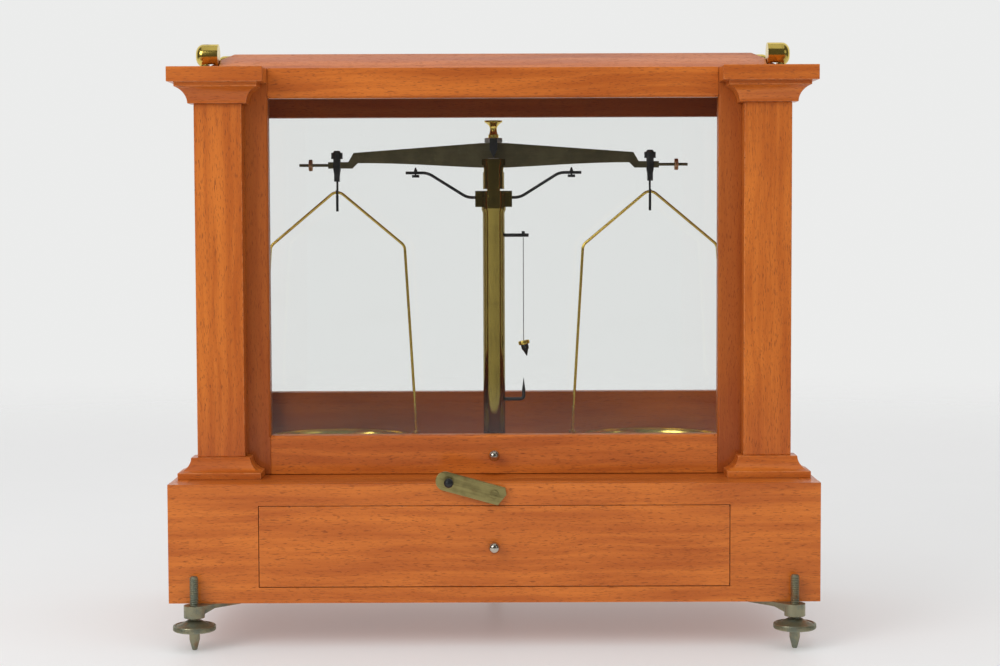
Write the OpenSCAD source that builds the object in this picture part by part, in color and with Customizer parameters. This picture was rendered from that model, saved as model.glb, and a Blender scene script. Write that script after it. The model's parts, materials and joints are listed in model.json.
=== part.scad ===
// Prescription balance: an equal-arm beam on a brass column, with two pans,
// in a glazed mahogany case with a counterpoised front sash and a drawer.
// Millimetres. Z is up and the front faces -Y. The origin is on the table,
// under the middle of the whole object.

/* [Base box] */
// Width of the base box
base_w = 450; // [400:1:520]
// Depth of the base box
base_d = 215; // [205:1:260]
// Height of the base box
base_h = 82.5; // [76:0.5:110]
// Clear height under the base box
stand_h = 31; // [27:0.5:45]
// Thickness of the front, side and back boards
board_t = 12; // [10:0.5:16]
// Thickness of the board that carries the case
top_board_t = 12; // [11:0.5:16]
// Clearance between the bottom board and the drawer
bottom_gap = 0.4; // [0.3:0.05:1]
// Width of the finger scoop in front of the sash
scoop_w = 35; // [20:1:50]
// Depth of the finger scoop
scoop_depth = 2.5; // [1:0.1:3.5]

/* [Drawer] */
// Distance from the end of the base to the drawer front
drawer_margin = 62.7; // [40:0.1:90]
// Height of the base below the drawer front
drawer_sill = 11.2; // [10.5:0.1:16]
// Space between the drawer front and the board above it
drawer_head = 3.3; // [3:0.1:8]
// Length of the drawer from front to back
drawer_l = 188; // [120:1:190]
// Thickness of the drawer front
drawer_front_t = 11; // [8:0.5:14]
// Thickness of the drawer sides and back
drawer_side_t = 8; // [5:0.5:10]
// Height of the drawer sides
drawer_side_h = 46; // [30:1:50]
// Thickness of the drawer bottom
drawer_bottom_t = 4; // [3:0.5:6]
// Width of each drawer guide
guide_w = 9; // [6:0.5:14]
// Height of each drawer guide
guide_h = 16; // [10:0.5:24]
// Gap around the drawer front
drawer_gap = 0.4; // [0.3:0.05:0.8]
// Radius of the ball of the drawer and sash knobs
knob_r = 4; // [3:0.1:6]
// Distance from the board to the centre of a knob's ball
knob_reach = 7; // [6.5:0.5:12]
// Radius of the neck of a knob
knob_neck_r = 1.8; // [1.2:0.1:2.4]
// Radius of the collar of a knob
knob_collar_r = 3.2; // [2.6:0.1:4.5]
// Thickness of the collar of a knob
knob_collar_t = 1.2; // [0.8:0.1:2]

/* [Case] */
// Distance from the side of the base to the case's corner posts
case_margin = 15.5; // [6:0.5:30]
// Height of the case above the base box
case_h = 288; // [275:1:340]
// Distance from the front of the base to the pilasters
pilaster_back = 38.5; // [30:0.5:44]
// Width of the pilasters and corner posts
post_w = 33.5; // [30:0.5:38]
// Thickness of the pilasters
pilaster_t = 14.2; // [10:0.2:16]
// Distance from the back of the case to the back of the base
case_back_inset = 7; // [2:0.5:12]
// Depth of the rear posts
rear_post_d = 30; // [26:0.5:34]
// Depth of the front posts behind the sash
front_post_d = 13.5; // [11:0.5:18]
// Thickness of the side rails and back rails
rail_t = 12; // [10:0.5:14]
// Thickness of the outer wall beside the sash
sash_wall_t = 6.2; // [4:0.2:8]
// Depth of the cord slot behind the sash
cord_slot_d = 6.5; // [5:0.5:8]
// Height of the back and side bottom rails
low_rail_h = 46.5; // [35:0.5:60]
// Height of the back and side top rails
high_rail_h = 28.2; // [20:0.2:40]
// Height of the lintel behind the sash
lintel_h = 19.5; // [14:0.5:30]
// Thickness of the case glass
case_glass_t = 2.5; // [2:0.1:4]
// Depth that glass enters its groove
glass_bite = 4; // [3:0.5:5]
// Rise of the roof board's raised field
roof_h = 12.8; // [9:0.1:20]
// Height of the roof board's square edge
roof_edge_h = 1; // [0.6:0.1:3]
// Width of the roof board's bevel
roof_bevel_w = 23; // [16:0.5:40]

/* [Mouldings] */
// Overhang of the capital slab over the pilaster
slab_out = 16.5; // [13:0.5:20]
// Height of the capital slab
slab_h = 10.4; // [7:0.2:14]
// Height of the moulding below the slab
capital_h = 14.6; // [13.2:0.2:18]
// Overhang of the capital moulding at its top
capital_out = 12; // [8:0.2:12.6]
// Overhang of the capital moulding at its foot
capital_in = 3.8; // [2:0.2:5]
// Radius of the hollow of the capital moulding
capital_hollow_r = 12.2; // [11:0.2:13]
// Height of the plinth moulding
plinth_h = 14.6; // [12:0.2:20]
// Overhang of the plinth moulding at its foot
plinth_out = 12.5; // [9:0.1:13]
// Overhang of the plinth moulding at its top
plinth_in = 4.1; // [2:0.1:5]
// Radius of the hollow of the plinth moulding
plinth_hollow_r = 10.2; // [9.4:0.1:11]

/* [Sash] */
// Thickness of the sash
sash_t = 12; // [9:0.5:14]
// Height that the sash stands above the capitals
sash_proud = 0.6; // [0:0.1:4]
// Width of the stiles of the sash
stile_w = 43.7; // [34:0.1:60]
// Height of the top rail of the sash
sash_top_h = 21.3; // [16:0.1:34]
// Height of the bottom rail of the sash
sash_low_h = 27.6; // [22:0.1:40]
// Thickness of the sash glass
sash_glass_t = 2.5; // [2:0.1:3.5]
// Width of the bevel round the glass
sash_bevel = 1.4; // [0.6:0.1:2.4]
// Height of the sash knob above the foot of the sash
sash_knob_h = 13.5; // [9:0.5:18]

/* [Counterpoise] */
// Radius of a pulley hood
hood_r = 8.2; // [7.6:0.1:10]
// Length of a pulley hood
hood_l = 16; // [13:0.5:20]
// Radius of the rounded end of a pulley hood
hood_round_r = 5.6; // [3:0.1:6.5]
// Height of a hood's axis above the case
hood_z = 10.8; // [10:0.1:14]
// Distance from the side of the case to the flat face of a hood
hood_inset = 13.5; // [13:0.5:16]
// Distance from the front of a counterweight's channel to its cord
cord_inset = 6.1; // [5:0.1:9]
// Thickness of a hood's wall at its flat face
hood_wall = 1.7; // [1.2:0.1:2.4]
// Radius of the foot that holds a hood
hood_foot_r = 5.5; // [4:0.1:6.4]
// Radius of a pulley
pulley_r = 5.3; // [4:0.1:5.6]
// Width of the slot through which the cord leaves a hood
cord_slot_w = 1.8; // [1.2:0.1:2.6]
// Thickness of a pulley
pulley_t = 4.4; // [3:0.1:5]
// Depth of a pulley's cord groove
pulley_groove = 0.9; // [0.5:0.1:1.4]
// Radius of a pulley's pin
pulley_pin_r = 1.2; // [0.8:0.1:2]
// Side clearance of a pulley in its hood
pulley_gap = 0.6; // [0.4:0.1:1]
// Length of a counterweight
weight_l = 72; // [30:1:76]
// Distance from the top of the case to a raised counterweight
weight_drop = 14; // [8:1:20]
// Wall of a rear post round its weight channel
channel_wall = 2.8; // [2:0.1:4]
// Clearance round a counterweight
weight_gap = 0.6; // [0.4:0.1:1]

/* [Feet] */
// Distance of the levelling screws in front of the base
foot_out = 6; // [5:0.5:10]
// Distance from the end of the base to a levelling screw
foot_inset = 18.5; // [12:0.5:40]
// Radius of a levelling screw's thread
thread_r = 3.15; // [2.5:0.05:4]
// Height of the top of a levelling screw above the underside
thread_up = 20; // [8:0.5:30]
// Radius of the disc of a levelling screw
head_r = 14.7; // [12:0.1:18]
// Thickness of the rim of the disc
head_t = 4.2; // [3:0.1:6]
// Height of the underside of the disc above the table
head_z = 13.5; // [10:0.5:17]
// Rise of the dished top of the disc
head_rise = 3; // [2:0.1:4]
// Radius of the foot below the disc
point_r = 3.6; // [2.6:0.1:5]
// Length of the foot's taper
point_taper = 6.4; // [4:0.2:8]
// Radius of the foot's end
point_end_r = 1.8; // [1:0.1:2.4]
// Radius of the boss of a levelling lug
lug_r = 7.2; // [6:0.1:8.5]
// Thickness of the boss of a levelling lug
lug_h = 8.6; // [7:0.1:9]
// Length of a lug's plate under the base
lug_l = 34; // [24:1:44]
// Width of a lug's plate under the base
lug_w = 13; // [10:0.5:14]
// Thickness of a lug's plate
lug_plate_t = 3; // [2:0.1:4]
// Radius of the flange of the rear foot
rear_flange_r = 11; // [9:0.5:16]
// Thickness of the flange of the rear foot
rear_flange_t = 3; // [2:0.1:5]
// Radius of the rear foot
rear_foot_r = 4.5; // [3.5:0.1:7]
// Radius of the rear foot's tread
rear_tread_r = 6; // [5:0.1:8]
// Height of the rear foot's tread
rear_tread_h = 5; // [3:0.2:7]
// Distance from the back of the base to the rear foot
rear_foot_in = 22; // [14:1:40]

/* [Column] */
// Radius of the column tube
column_r = 8.2; // [7.5:0.1:9.5]
// Height of the knife edge above the table
knife_z = 340; // [338:0.5:343]
// Radius of the foot flange of the column
flange_r = 19; // [16:0.5:26]
// Thickness of the foot flange of the column
flange_t = 3.2; // [2.4:0.1:5]
// Height of the moulded foot of the column
column_foot_h = 11; // [8:0.5:18]
// Radius of the bore of the column tube
column_bore_r = 6.6; // [6:0.1:6.9]
// Distance from the knife edge down to the top of the collar
collar_drop = 24.2; // [22:0.1:26]
// Height of the collar
collar_h = 12; // [9:0.2:15]
// Radius of the collar
collar_r = 9.4; // [9:0.1:11]
// Half width of the collar over its two lugs
collar_lug_x = 13.7; // [12:0.1:16]
// Width of a collar lug from front to back
collar_lug_w = 9; // [6:0.2:12]
// Height of the neck ring below the collar
neck_h = 4.4; // [3:0.2:6]
// Radius of the forked bearing tube
fork_r = 8; // [7:0.1:8.2]
// Radius of the lip of the forked bearing tube
fork_lip_r = 9.2; // [8.6:0.1:10.4]
// Height of the lip of the forked bearing tube
fork_lip_h = 4.4; // [3:0.1:6]
// Width of the slot for the beam
fork_slot_w = 6.4; // [5.6:0.1:8]
// Depth of the slot for the beam
fork_slot_h = 10.4; // [9.6:0.1:13]
// Radius of the stem that guides the fork
fork_stem_r = 5; // [4:0.1:5.6]
// Length of the stem that guides the fork
fork_stem_l = 30; // [20:1:60]
// Travel of the fork between free and arrested
lift_travel = 1; // [0.6:0.1:1.2]
// Thickness of an agate plane
plane_t = 2; // [1.2:0.1:3]
// Width of an agate plane along the beam
plane_w = 8; // [6:0.2:9]
// Radius of the lift rod
lift_rod_r = 2.5; // [1.8:0.1:3.5]

/* [Arrest] */
// Height of the arrest shaft's axis below the top of the base
shaft_drop = 7; // [6.8:0.1:7.4]
// Radius of the arrest shaft
shaft_r = 2.8; // [2:0.1:3]
// Radius of the cam
cam_r = 3.9; // [3.4:0.1:4]
// Turn of the arrest lever from free to arrested
lever_turn = 60; // [58:1:90]
// Thickness of the cam
cam_t = 6; // [4:0.5:8]
// Angle of the arrest lever above level
lever_angle = 15.5; // [0:0.5:40]
// Length of the arrest lever from its screw to its round end
lever_l = 41.5; // [30:0.5:60]
// Width of the arrest lever
lever_w = 13.2; // [9:0.1:13.2]
// Thickness of the arrest lever
lever_t = 2; // [1.4:0.1:3]
// Length of the lever's tail past its screw
lever_tail = 8.3; // [7:0.1:8.4]
// Distance from the base front to the back of the lever
lever_gap = 2; // [1.2:0.1:3]
// Distance from the screw to the stud of the lever
stud_l = 32.3; // [20:0.1:36]
// Radius of the lever stud
stud_r = 3.3; // [2.4:0.1:4.5]
// Radius of the head of the lever screw
lever_screw_r = 3.1; // [2.4:0.1:4]
// Height of the head of the lever screw
lever_screw_h = 0.9; // [0.6:0.1:1.6]
// Radius of the arrest arm rods
arm_r = 1.1; // [0.8:0.05:1.5]
// Drop from the knife edge to the outer end of an arrest arm
arm_end_drop = 10.7; // [9.8:0.1:12]
// Distance from the column's axis to the start of an arm's rise
arm_start_x = 19.6; // [17:0.1:24]
// Slope of the rising stretch of an arrest arm
arm_slope = 32; // [26:1:40]
// Bend radius of an arrest arm
arm_bend = 14; // [8:0.5:16]
// Reach of an arrest arm from the column's axis
arm_reach = 65.4; // [62:0.1:76]
// Distance from the column's axis to an arrest pin
pin_x = 58; // [56.5:0.1:61]
// Radius of an arrest pin
pin_r = 1.3; // [1.2:0.05:1.7]
// Height of an arrest pin's point
pin_point_h = 2.4; // [1.5:0.1:3]
// Gap between an arrest pin and the free beam
pin_gap = 2.2; // [2.1:0.05:2.6]
// Radius of the knurled nut of an arrest pin
pin_nut_r = 2.8; // [2.2:0.1:3.6]
// Height of the knurled nut of an arrest pin
pin_nut_h = 2; // [1.4:0.1:3]

/* [Beam] */
// Distance between the end knives
span = 233; // [229:0.5:238]
// Thickness of the beam plate
beam_t = 3.6; // [3:0.1:4]
// Height of the beam above the knife edge at its middle
beam_up = 11.5; // [10.6:0.1:12.5]
// Depth of the beam below the knife edge at its middle
beam_down = 7.2; // [6.4:0.1:7.6]
// Distance from an end knife's edge in to the shoulder of the beam
shoulder_in = 12.5; // [11.5:0.5:16]
// Height of the shoulders above the knife edge
shoulder_up = 4.3; // [3:0.1:4.6]
// Depth of the shoulders below the knife edge
shoulder_down = 3.3; // [2.6:0.1:3.6]
// Half length of the level crown on the beam's top
crown_x = 10; // [6:0.5:16]
// Thickness of the tongues from top to bottom
tongue_h = 4.8; // [4:0.1:5.2]
// Depth of a tongue's top below the knife edge
tongue_drop = 2.5; // [2.2:0.1:3]
// Distance from an end knife's edge out to the end of a tongue
tongue_out = 6.5; // [4.6:0.1:8]
// Run of the sloping joggle down to a tongue
joggle_run = 4; // [2.5:0.1:4.6]
// Distance from an end knife's edge out to the end of a tare rod
rod_out = 28; // [22:0.5:32]
// Radius of a tare rod
rod_r = 1.1; // [0.8:0.05:1.4]
// Distance from an end knife's edge out to a tare nut
nut_out = 19.5; // [15:0.5:22]
// Radius of a tare nut
nut_r = 4.3; // [3:0.1:4.8]
// Thickness of a tare nut
nut_t = 2.8; // [2:0.1:3.4]
// Height of the knife prisms
knife_h = 5.4; // [4.4:0.1:6]
// Half width of the centre knife at its top
knife_half_w = 2.3; // [1.8:0.1:3]
// Half length of the centre knife across the beam
knife_half_l = 9; // [8.6:0.1:9.2]
// Height of the clamp blocks on the centre knife
clamp_h = 9.2; // [7:0.1:11]
// Half width of the clamp blocks
clamp_half_w = 2.8; // [2.3:0.1:3.6]
// Thickness of a clamp block
clamp_t = 2; // [1.5:0.1:2.1]
// Radius of the knurled lock disc
lock_r = 6.7; // [5.5:0.1:6.8]
// Thickness of the knurled lock disc
lock_t = 3.4; // [2.4:0.1:4.4]
// Height of the finial nut
finial_h = 13; // [10:0.2:16]
// Radius of the finial nut's flared top
finial_r = 6.7; // [5.5:0.1:8]
// Radius of the finial nut's waist
finial_waist_r = 2.6; // [2.2:0.1:3.2]
// Radius of the finial nut's foot
finial_foot_r = 3.9; // [3.3:0.1:4.6]
// Height of an end knife above the tongue
end_knife_h = 2; // [1.6:0.1:2.2]
// Half width of an end knife
end_knife_half_w = 1.2; // [0.8:0.1:1.6]

/* [Stirrups and pans] */
// Thickness of a stirrup's cheeks
cheek_t = 1.3; // [1:0.1:1.8]
// Width of a stirrup's cheeks at the beam
cheek_w = 5; // [4:0.1:6]
// Width of a stirrup's cheeks at its foot
cheek_low_w = 3.9; // [3.4:0.1:4]
// Side clearance between a stirrup and the beam
cheek_gap = 0.7; // [0.5:0.1:1]
// Radius of a stirrup's round cap
cap_r = 4.3; // [3.6:0.1:5]
// Height of a stirrup's round cap
cap_h = 4.6; // [3.6:0.1:5.6]
// Rise of the boss on a stirrup's cap
cap_boss_h = 1.5; // [0.6:0.1:2]
// Depth of a stirrup's foot below the knife edge
stirrup_drop = 17; // [15:0.2:20]
// Height of a stirrup's foot block
stirrup_foot_h = 4; // [3:0.1:6]
// Radius of a hook's wire
hook_r = 0.8; // [0.6:0.05:1.1]
// Drop from the knife edge to the bow's wire in the hook
bow_drop = 25; // [23.5:0.1:27]
// Length of the flat tail of a hook
tail_l = 12; // [8:0.5:16]
// Width of the flat tail of a hook
tail_w = 1.9; // [1.6:0.1:2.4]
// Radius of a bow's wire
bow_wire_r = 1.05; // [0.8:0.05:1.4]
// Slope of a bow's upper arms
bow_slope = 40; // [34:0.5:44]
// Distance from a bow's middle to its shoulder
bow_shoulder_x = 50; // [42:0.5:53]
// Bend radius of a bow's wire
bow_bend = 7; // [4:0.5:9]
// Outer radius of a pan
pan_r = 60; // [50:0.5:61]
// Height of a pan's rim above the table
pan_z = 132.5; // [130:0.5:150]
// Depth of a pan
pan_depth = 8; // [5:0.2:10]
// Thickness of a pan's metal
pan_t = 1.2; // [0.8:0.1:1.6]
// Width of a pan's flat rim
pan_rim = 4.4; // [3:0.1:6]
// Radius where a pan's wall meets its floor
pan_round_r = 7; // [5:0.2:7.6]
// Distance that a bow's legs stand in from a pan's edge
leg_inset = 1.8; // [1.6:0.1:3]
// Radius of the spool nuts that hold a bow to its pan
spool_r = 2.9; // [2.2:0.1:3.6]
// Radius of the waist of a spool nut
spool_waist_r = 1.9; // [1.6:0.1:2.4]
// Height of a spool nut
spool_h = 4; // [3:0.1:8]

/* [Plumb line] */
// Distance from the column's axis to the plumb line
plumb_x = 22; // [18:0.2:28]
// Depth of the plumb bracket below the knife edge
plumb_drop = 57.2; // [50:0.2:64]
// Radius of the plumb bracket's rod
plumb_rod_r = 1.3; // [0.9:0.1:1.6]
// Reach of the plumb bracket past the line
plumb_over = 4; // [2:0.2:7]
// Length of the plumb line
line_l = 77; // [60:0.5:90]
// Thickness of the plumb line
line_t = 0.6; // [0.5:0.05:1]
// Radius of the cap disc on the plumb bob
bob_cap_r = 4.2; // [3:0.1:5.4]
// Thickness of the cap disc on the plumb bob
bob_cap_t = 3; // [2:0.1:4]
// Radius of the plumb bob's cone
bob_r = 2.8; // [2:0.1:4]
// Length of the plumb bob's cone
bob_l = 9; // [6:0.2:14]
// Angle at which the plumb bob hangs off true
bob_lean = 12; // [0:1:20]
// Gap between the plumb bob's point and the index
index_gap = 16; // [12:0.5:26]
// Height of the index's sharp point
index_point_h = 9; // [4:0.2:11]
// Length of the index's upright
index_h = 16; // [12:0.5:20]

/* [Hidden] */

// Clearance of wood that slides, and of a piece that hangs on its seat
slide_gap = 0.3;
// Radial clearance of a turning or sliding metal fit
running_fit = 0.05;
// Height of a knife edge over its plane
knife_gap = 0.02;
// Length by which a cutter passes through a face
cut = 1;
// Length by which a straight rod enters a bend
rod_lap = 0.06;
// Extra radius of a bend over its rod
bend_step = 0.01;

mahogany = [0.62, 0.29, 0.10];
lacquered_brass = [0.80, 0.62, 0.22];
aged_brass = [0.45, 0.42, 0.28];
worn_brass = [0.50, 0.45, 0.22];
dark_bronze = [0.22, 0.20, 0.12];
blued_steel = [0.13, 0.13, 0.14];
grey_steel = [0.55, 0.55, 0.54];
nickel = [0.66, 0.63, 0.57];
clear_glass = [0.85, 0.92, 0.92, 0.3];
agate = [0.45, 0.42, 0.40];
cast_iron = [0.25, 0.25, 0.26];
thread_colour = [0.35, 0.35, 0.34];

// Depths are measured back from the front of the base box
front_y = -(base_d - foot_out - head_r) / 2;
function depth(d) = front_y + d;

base_top_z = stand_h + base_h;
case_top_z = base_top_z + case_h;
foot_x = base_w / 2 - foot_inset;
case_x = base_w / 2 - case_margin;
post_x = case_x - post_w;
case_back = base_d - case_back_inset;
sash_front = pilaster_back + pilaster_t + slide_gap;
sash_back = sash_front + sash_t;
post_front = sash_back + slide_gap;
front_post_back = post_front + front_post_d;
rear_post_front = case_back - rear_post_d;
rail_front = case_back - rail_t;
sash_wall_x = case_x - sash_wall_t;
glass_x = case_x - rail_t / 2;
glass_y = case_back - rail_t / 2;
low_rail_z = base_top_z + low_rail_h;
high_rail_z = case_top_z - high_rail_h;

// The beam stands midway between the sash and the back rails
column_d = (sash_back + rail_front) / 2;
column_y = depth(column_d);
end_x = span / 2;
shoulder_x = end_x - shoulder_in;
tongue_x = end_x + tongue_out;
rod_x = end_x + rod_out;
nut_x = end_x + nut_out;

drawer_x = base_w / 2 - drawer_margin;
drawer_z = stand_h + drawer_sill;
drawer_h = base_h - top_board_t - drawer_head - drawer_sill;
bottom_t = drawer_sill - bottom_gap;

sash_z = base_top_z + slide_gap;
sash_top_z = case_top_z + sash_proud;
sash_x = sash_wall_x - slide_gap;
sash_open_x = sash_x - stile_w;
sash_open_low = sash_z + sash_low_h;
sash_open_high = sash_top_z - sash_top_h;

hood_x = case_x - hood_inset;
hood_axis_z = case_top_z + hood_z;
hood_front_y = depth(post_front + slide_gap + hood_r);
hood_cavity_t = pulley_t + 2 * pulley_gap;
cord_x = hood_x + hood_wall + hood_cavity_t / 2;
cord_r = pulley_r - pulley_groove;
channel_x = post_x + glass_bite + slide_gap + channel_wall;
channel_y = depth(rear_post_front + glass_bite + slide_gap + channel_wall);
weight_y = channel_y + cord_inset;
hood_rear_y = weight_y - cord_r;
landing_z = case_top_z + roof_edge_h;

shaft_z = base_top_z - shaft_drop;
lever_y = depth(-lever_gap);
cam_offset = lift_travel / (1 - cos(lever_turn));
chamber_r = cam_r + cam_offset + 6;
cam_top_z = shaft_z + cam_r + cam_offset;

collar_top_z = knife_z - collar_drop;
collar_z = collar_top_z - collar_h;
arm_z = collar_top_z - collar_h / 2 + arm_r;
arm_end_z = knife_z - arm_end_drop;
fork_z = collar_top_z + lift_travel + slide_gap;
fork_top_z = knife_z - knife_gap - plane_t / 3;
stem_low_z = fork_z - fork_stem_l;

tongue_z = knife_z - tongue_drop - tongue_h / 2;
end_knife_z = knife_z - tongue_drop + end_knife_h;
beam_top_z = knife_z + beam_up;
lock_z = beam_top_z;
finial_z = lock_z + lock_t;

cheek_in = beam_t / 2 + cheek_gap;
stirrup_z = knife_z - stirrup_drop;
bow_z = knife_z - bow_drop;
hook_z = bow_z - bow_wire_r - slide_gap - hook_r;
leg_x = pan_r - leg_inset;
pan_floor_z = pan_z - pan_depth;

plumb_z = knife_z - plumb_drop;
line_top_z = plumb_z - plumb_rod_r - slide_gap;
bob_top_z = line_top_z - line_l;
bob_tip_z = bob_top_z - bob_cap_t - bob_l;
index_tip_z = bob_tip_z - index_gap;
index_low_z = index_tip_z - index_h;

// A box from one corner to the other
module block(low, high) {
  translate(low)
    cube(high - low);
}

// The same piece on the left and the right of the centre plane
module both_sides() {
  children();
  mirror([1, 0, 0])
    children();
}

module on_left() {
  mirror([1, 0, 0])
    children();
}

// A round bar from one point to another
module bar(from, to, r) {
  run = to - from;
  len = norm(run);
  translate(from)
    rotate([0, acos(run[2] / len), atan2(run[1], run[0])])
      cylinder(h = len, r = r, $fn = 48);
}

// Angle by which a path turns at its corner b, positive to the left
function turn(a, b, c) =
  let (t = atan2(c[1] - b[1], c[0] - b[0]) - atan2(b[1] - a[1], b[0] - a[0]))
  t > 180 ? t - 360 : t < -180 ? t + 360 : t;
function bend_cut(path, i, bend) =
  i == 0 || i == len(path) - 1 ? 0
  : bend * tan(abs(turn(path[i - 1], path[i], path[i + 1])) / 2);

// One rounded corner of a rod in the XY plane
module rod_bend(a, b, c, r, bend) {
  t = turn(a, b, c);
  side = t > 0 ? 1 : -1;
  heading = atan2(b[1] - a[1], b[0] - a[0]);
  start = b - bend * tan(abs(t) / 2) * [cos(heading), sin(heading)];
  middle = start + side * bend * [-sin(heading), cos(heading)];
  first = side > 0 ? heading - 90 : heading + 90 + t;
  translate([middle[0], middle[1], 0])
    rotate([0, 0, first])
      rotate_extrude(angle = abs(t), $fn = 96)
        translate([bend, 0])
          circle(r = r, $fn = 48);
}

// A bent rod that stands in the XZ plane, given as corners [x, z]; its
// straight stretches run a little way into the bends, which are a touch fuller
module bent_rod(path, r, bend) {
  last = len(path) - 1;
  rotate([90, 0, 0]) {
    for (i = [0 : last - 1]) {
      way = (path[i + 1] - path[i]) / norm(path[i + 1] - path[i]);
      from = path[i] + way * (i > 0 ? bend_cut(path, i, bend) - rod_lap : 0);
      to = path[i + 1] - way * (i + 1 < last ? bend_cut(path, i + 1, bend) - rod_lap : 0);
      bar([from[0], from[1], 0], [to[0], to[1], 0], r);
    }
    for (i = [1 : last - 1])
      rod_bend(path[i - 1], path[i], path[i + 1], r + bend_step, bend);
  }
}

// A turned ball knob that points to -Y, with its back at the origin
module ball_knob(r, reach, neck_r, collar_r, collar_t) {
  rotate([90, 0, 0]) {
    cylinder(h = collar_t, r = collar_r, $fn = 64);
    cylinder(h = reach, r = neck_r, $fn = 48);
    translate([0, 0, reach])
      sphere(r = r, $fn = 64);
  }
}

// Base box

module base_front() {
  color(mahogany)
    difference() {
      block([-base_w / 2, depth(0), stand_h], [base_w / 2, depth(board_t), base_top_z]);
      block([-drawer_x - drawer_gap, depth(-cut), drawer_z - drawer_gap],
            [drawer_x + drawer_gap, depth(board_t + cut), drawer_z + drawer_h + drawer_gap]);
      translate([0, depth(board_t + cut), shaft_z])
        rotate([90, 0, 0])
          cylinder(h = board_t + 2 * cut, r = shaft_r + running_fit, $fn = 64);
      scoop();
    }
}

// The cutter for the finger scoop, a shallow round hollow
module scoop() {
  scoop_r = (pow(scoop_w / 2, 2) + pow(scoop_depth, 2)) / (2 * scoop_depth);
  scoop_d = sash_front - scoop_w / 2 + 2;
  translate([0, depth(scoop_d), base_top_z - scoop_depth + scoop_r])
    sphere(r = scoop_r, $fn = 128);
}

module base_carcase() {
  inner_x = base_w / 2 - board_t;
  color(mahogany) {
    block([-base_w / 2, depth(board_t), stand_h], [-inner_x, depth(base_d), base_top_z]);
    block([inner_x, depth(board_t), stand_h], [base_w / 2, depth(base_d), base_top_z]);
    block([-inner_x, depth(base_d - board_t), stand_h], [inner_x, depth(base_d), base_top_z]);
    block([-inner_x, depth(board_t), stand_h],
          [inner_x, depth(base_d - board_t), stand_h + bottom_t]);
  }
}

module base_top() {
  inner_x = base_w / 2 - board_t;
  low_z = base_top_z - top_board_t;
  groove_x = shaft_r + 0.6;
  color(mahogany)
    difference() {
      block([-inner_x, depth(board_t), low_z], [inner_x, depth(base_d - board_t), base_top_z]);
      scoop();
      translate([0, column_y, low_z - cut])
        cylinder(h = top_board_t + 2 * cut, r = chamber_r, $fn = 96);
      block([-groove_x, depth(board_t - cut), low_z - cut],
            [groove_x, column_y, shaft_z + groove_x]);
    }
}

module drawer_guides() {
  guide_x = drawer_x + slide_gap;
  color(mahogany)
    both_sides()
      block([guide_x, depth(board_t), stand_h + bottom_t],
            [guide_x + guide_w, depth(base_d - board_t), stand_h + bottom_t + guide_h]);
}

// Drawer

module drawer_front() {
  color(mahogany)
    block([-drawer_x, depth(0), drawer_z], [drawer_x, depth(drawer_front_t), drawer_z + drawer_h]);
}

module drawer_box() {
  floor_z = drawer_z;
  inner_x = drawer_x - drawer_side_t;
  top_z = floor_z + min(drawer_side_h, drawer_h);
  color(mahogany) {
    for (side = [-1, 1])
      block([side > 0 ? inner_x : -drawer_x, depth(drawer_front_t), floor_z],
            [side > 0 ? drawer_x : -inner_x, depth(drawer_l), top_z]);
    block([-inner_x, depth(drawer_l - drawer_side_t), floor_z], [inner_x, depth(drawer_l), top_z]);
    block([-inner_x, depth(drawer_front_t), floor_z],
          [inner_x, depth(drawer_l - drawer_side_t), floor_z + drawer_bottom_t]);
  }
}

module drawer_knob() {
  color(nickel)
    translate([0, depth(0), drawer_z + drawer_h / 2])
      ball_knob(knob_r, knob_reach, knob_neck_r, knob_collar_r, knob_collar_t);
}

// Pilasters and their mouldings

module pilasters() {
  color(mahogany)
    both_sides()
      block([post_x, depth(pilaster_back), base_top_z + plinth_h],
            [case_x, depth(pilaster_back + pilaster_t), case_top_z - slab_h - capital_h]);
}

// Section of a capital, from the shaft's own width; the second value is
// the overhang on the far side, which is none at the back
module capital_section(w, far) {
  top = capital_h;
  difference() {
    translate([-capital_out, 0])
      square([w + capital_out + far * capital_out, top]);
    translate([-capital_in - capital_hollow_r, 0])
      circle(r = capital_hollow_r, $fn = 96);
    if (far > 0)
      translate([w + capital_in + capital_hollow_r, 0])
        circle(r = capital_hollow_r, $fn = 96);
  }
  translate([-slab_out, top])
    square([w + slab_out + far * slab_out, slab_h]);
}

module plinth_section(w, far) {
  difference() {
    translate([-plinth_out, 0])
      square([w + plinth_out + far * plinth_out, plinth_h]);
    translate([-plinth_in - plinth_hollow_r, plinth_h])
      circle(r = plinth_hollow_r, $fn = 96);
    if (far > 0)
      translate([w + plinth_in + plinth_hollow_r, plinth_h])
        circle(r = plinth_hollow_r, $fn = 96);
  }
}

// Two sections crossed, so that the moulding mitres round three sides
module mitred(w, d, z, reach) {
  translate([post_x, depth(pilaster_back), z])
    intersection() {
      translate([0, d, 0])
        rotate([90, 0, 0])
          linear_extrude(d + reach)
            children(0);
      translate([-reach, 0, 0])
        rotate([90, 0, 90])
          linear_extrude(w + 2 * reach)
            children(1);
    }
}

module capitals() {
  color(mahogany)
    both_sides()
      mitred(post_w, pilaster_t, case_top_z - slab_h - capital_h, slab_out + cut) {
        capital_section(post_w, 1);
        capital_section(pilaster_t, 0);
      }
}

module plinth_mouldings() {
  color(mahogany)
    both_sides()
      mitred(post_w, pilaster_t, base_top_z, plinth_out + cut) {
        plinth_section(post_w, 1);
        plinth_section(pilaster_t, 0);
      }
}

// Case

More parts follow.
